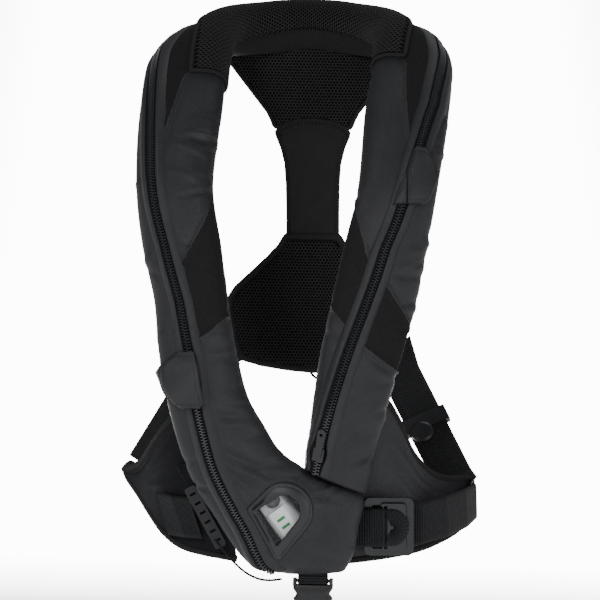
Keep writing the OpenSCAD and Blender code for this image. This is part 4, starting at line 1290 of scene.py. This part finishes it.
def pad_shell(outline, depth, step=3.0):
    """Pillow between the panel's back face and a front that is full in the middle."""
    low, high = outline.min(0), outline.max(0)
    X, Z = np.meshgrid(np.arange(low[0], high[0], step), np.arange(low[1], high[1], step))
    keep = within(outline, X, Z) & (rim_distance(outline, X, Z) > 0.55 * step)
    flat = np.concatenate([outline, np.stack([X[keep], Z[keep]], -1)])
    rim = len(outline)
    sides = [(k, (k + 1) % rim) for k in range(rim)]
    spots, _, faces, _, _, _ = delaunay_2d_cdt([Vector(p) for p in flat], sides, [list(range(rim))], 2, 1e-5)
    flat = np.array([tuple(p) for p in spots])
    d = rim_distance(outline, flat[:, 0], flat[:, 1])
    front = np.stack([flat[:, 0], panel_front(d, depth), flat[:, 1]], -1)
    back = np.stack([flat[:, 0], BACK - 0.4 - 1.2 * bell(d, 2.5), flat[:, 1]], -1)
    n = len(flat)
    faces = [tuple(f) for f in faces]
    edge = np.concatenate([np.arange(rim), [0]])
    skirt = [(int(edge[k]), int(edge[k + 1]), n + int(edge[k + 1]), n + int(edge[k])) for k in range(rim)]
    return np.concatenate([front, back]), faces + [tuple(n + k for k in reversed(f)) for f in faces] + skirt


def panel_front(d, depth):
    """Y of a panel's crowned front face at distance d from its rim."""
    return BACK - depth + 2.0 * bell(d, 2.5) - 1.6 * ramp(d, 0, 14)


def build_panel(name, half, node_name, depth, netted, slot, bind):
    """Pad, its binding, and its net or its stitching."""
    outline = outline_of(half)
    points, faces = pad_shell(outline, depth)
    # A netted pad's face under its net is near black: painted shade in the net's holes, on a real backing.
    base = piece(name + "_pad", points, faces, mesh_backing_painted_shade if netted else softshell_cloth,
                 replaces=[node_name], slot=slot)
    edge = np.stack([outline[:, 0], np.full(len(outline), BACK - depth / 2), outline[:, 1]], -1)
    loop = np.concatenate([edge, edge[:1]])
    swept(name + "_binding", loop, facing(loop), oval(bind, depth - 0.6), softshell_cloth, ends=False,
          slot="softshell_black")
    if netted:
        def where(u, v, lift):
            d = rim_distance(outline, u, v)
            return np.stack([u, panel_front(d, depth) - 0.9 - lift, v], -1)

        strands = Build()
        low, high = outline.min(0), outline.max(0)
        net(strands, lambda u, v: within(outline, u, v) & (rim_distance(outline, u, v) > 2.2), where,
            (low[0], high[0]), (low[1], high[1]))
        strands.piece(name + "_net", net_yarn, slot="mesh_black")
    else:
        rows = Build()
        inset = outline * [0.93, 1]
        arch = np.array([(x, z) for x, z in inset if z > -74])
        arch = arch[np.argsort(arch[:, 0])]
        for drop in (2.2, 5.0):
            line = np.stack([arch[:, 0], np.full(len(arch), BACK - depth - 0.2), arch[:, 1] - drop], -1)
            stitches(rows, line, facing(line), radius=0.4)
        for z in (-169.5, -172.0):
            line = np.stack([np.linspace(-24, 24, 30), np.full(30, BACK - depth + 0.4), np.full(30, z)], -1)
            stitches(rows, line, facing(line), radius=0.4)
        rows.piece(name + "_stitching", thread, slot="softshell_black")
    return base


build_panel("yoke", YOKE, "back_yoke", 6, True, "mesh_black", 5)
build_panel("spine_patch", SPINE, "spine_panel", 6, False, "softshell_black", 4)
build_panel("low_back", PAD, "lumbar_pad", 8, True, "mesh_black", 9)


# ---- Crotch buckle ----------------------------------------------------------------------------
def build_crotch_buckle():
    """Female half of a side-release buckle: waisted body with a mouth below and a bar above."""
    cx, cy, cz = 34.0, -156.0, -486.5
    outline = []
    for t in np.linspace(0, 1, 15):
        z = -4 - 16 * t
        half = 20 - 3.4 * bell(t - 0.55, 0.22) - 1.6 * ramp(t, 0.86, 1.0) - 1.5 * (1 - ramp(t, 0, 0.12))
        outline.append((half, z))
    build = Build()
    rings = []
    for k, (half, z) in enumerate(outline):
        thick = 11 * (0.72 + 0.28 * math.sin(math.pi * min(1, (k + 1) / 8) / 2))
        rings.append([(cx + x, cy + y, cz + z) for x, y in oval(2 * half, thick, 40, 0.32)])
    mouth = [[(cx + x, cy + y, cz + z) for x, y in oval(w, h, 40, 0.3)]
             for w, h, z in ((32, 8.0, -20.2), (30.4, 6.8, -19.4), (30, 6.4, -9))]
    build.grid(np.array(rings + mouth), closed=True)
    build.faces.append(tuple(range(40)))
    last = build.count
    build.faces.append(tuple(last - 40 + k for k in reversed(range(40))))
    for side in (-1, 1):
        arm = np.array([[cx + side * 18.2, cy, cz + z] for z in np.linspace(2.4, -5, 6)])
        sweep(build, arm, facing(arm), oval(3.6, 9.5, 16, 0.45))
    bar = np.array([[x, cy, cz] for x in np.linspace(cx - 19.5, cx + 19.5, 8)])
    sweep(build, bar, facing(bar), circle(1.75, 16))
    build.piece("crotch_clip_body", black_plastic, replaces=["crotch_buckle"], body="crotch_clip",
                slot="buckle_black")

    ring = []
    for t in np.linspace(0, math.tau, 28, endpoint=False):
        y, z = 3.4 * math.cos(t), 3.4 * math.sin(t)
        ring.append((y * (0.75 if z > 0 else 1), z + (4.4 if z > 0 else 0)))
    columns = np.linspace(cx - 14.8, cx + 14.8, 13)
    outer = np.array([[(x, cy + y, cz + z) for x in columns] for y, z in ring + ring[:1]])
    sheet("crotch_web_loop", outer, 1.4, web_yarn, replaces=["crotch_web"], slot="webbing_black")


build_crotch_buckle()


# ---- Webbing in the waist buckle --------------------------------------------------------------
BUCKLE, BUCKLE_TURN = np.array([107.0, -133.0, -434.0]), math.radians(8)
HOOK_X, HOOK_LIFT = -6.0, 5.9


def at_buckle(x, out, z):
    """Point at the buckle: x along it, out of its front, z up."""
    c, s_ = math.cos(BUCKLE_TURN), math.sin(BUCKLE_TURN)
    x, out, z = np.broadcast_arrays(np.asarray(x, float), np.asarray(out, float), np.asarray(z, float))
    return np.stack([BUCKLE[0] + x * c + out * s_, BUCKLE[1] + x * s_ - out * c, BUCKLE[2] + z], -1)


def build_buckle_web():
    """Webbing from under the flap round the hook's bar, and its end folded back in a fan."""
    turn = np.linspace(0, math.tau, 33)
    loop_r, length, high = 3.6, 24.0, 38.0
    x = np.where(np.cos(turn) >= 0, HOOK_X + loop_r * np.cos(turn), HOOK_X - length + loop_r * np.cos(turn))
    out = HOOK_LIFT + loop_r * np.sin(turn)
    Z, X = np.meshgrid(np.linspace(-high / 2, high / 2, 15), x, indexing="xy")
    grid = at_buckle(X, np.repeat(out[:, None], 15, 1), Z)
    sheet("buckle_web_strap", grid, 1.8, web_yarn, replaces=["buckle_strap"], slot="webbing_black")

    swing = np.radians(np.linspace(112, -112, 45))
    reach_out = np.linspace(2.5, 18.5, 9)
    T, R = np.meshgrid(swing, reach_out, indexing="ij")
    dome = 8.7 + 1.5 * np.sin(np.clip((R - 2.5) / 16, 0, 1) * math.pi)
    grid = at_buckle(2.5 + 0.92 * R * np.cos(T), dome, R * np.sin(T))
    sheet("buckle_web_fold", grid, 1.8, web_yarn, body="hook", slot="webbing_black")


def build_knob():
    """Arming knob's rim and grip, on the lever's hub behind the window."""
    centre = np.array([-4.6, -172.2, -404.7])
    knob = Build()
    turn = np.linspace(0, math.tau, 48, endpoint=False)
    rings = [(0.2, 1.6), (4.6, 1.6), (5.2, 1.2), (5.4, 0.6), (6.2, 0.6), (6.5, 1.3), (7.3, 1.3), (7.6, 0.8),
             (7.6, -1.2)]
    knob.grid(np.array([[centre + [r * math.cos(t), -h, r * math.sin(t)] for t in turn] for r, h in rings]),
              closed=True)
    knob.piece("lever_knob", knob_plastic, body="lever", slot="lever_grey")


def build_wing_trim():
    """Binding of the sleeve's mouth where the right webbing goes in, and the small stitched tab."""
    rim = even([[-176, -24, -397], [-168, -34, -390], [-160, -30, -397], [-163, -17, -404], [-171, -14, -405],
                [-177, -19, -401], [-176, -24, -397]], 2.0)
    swept("sleeve_mouth_binding", rim, facing(rim, (0.0, -0.4, 0.9)), oval(4.4, 3.4), softshell_cloth,
          slot="softshell_black")
    corners = np.array([[[-108, -127.5, -379], [-96, -130.5, -398]],
                        [[-89, -132.5, -370], [-80, -134.5, -393]]])
    grid = band_grid([corners[:, 0], corners[:, 1]], 12, 12, smooth=False)
    # The tab takes the right wing's darker copy of the nylon: painted shade.
    sheet("wing_tab", grid, 1.6, wing_cloth_painted_shade, slot="nylon_charcoal")
    rows = Build()
    out = unit(np.array([-0.25, -1.0, 0.0]))
    ring = np.concatenate([grid[1, 1:-1], grid[1:-1, -2], grid[-2, -2:0:-1], grid[-2:0:-1, 1]])
    stitches(rows, ring + out, np.tile(out, (len(ring), 1)), length=1.8, gap=1.3, radius=0.32)
    rows.piece("wing_tab_stitching", thread, slot="nylon_charcoal")


build_buckle_web()
build_knob()
build_wing_trim()
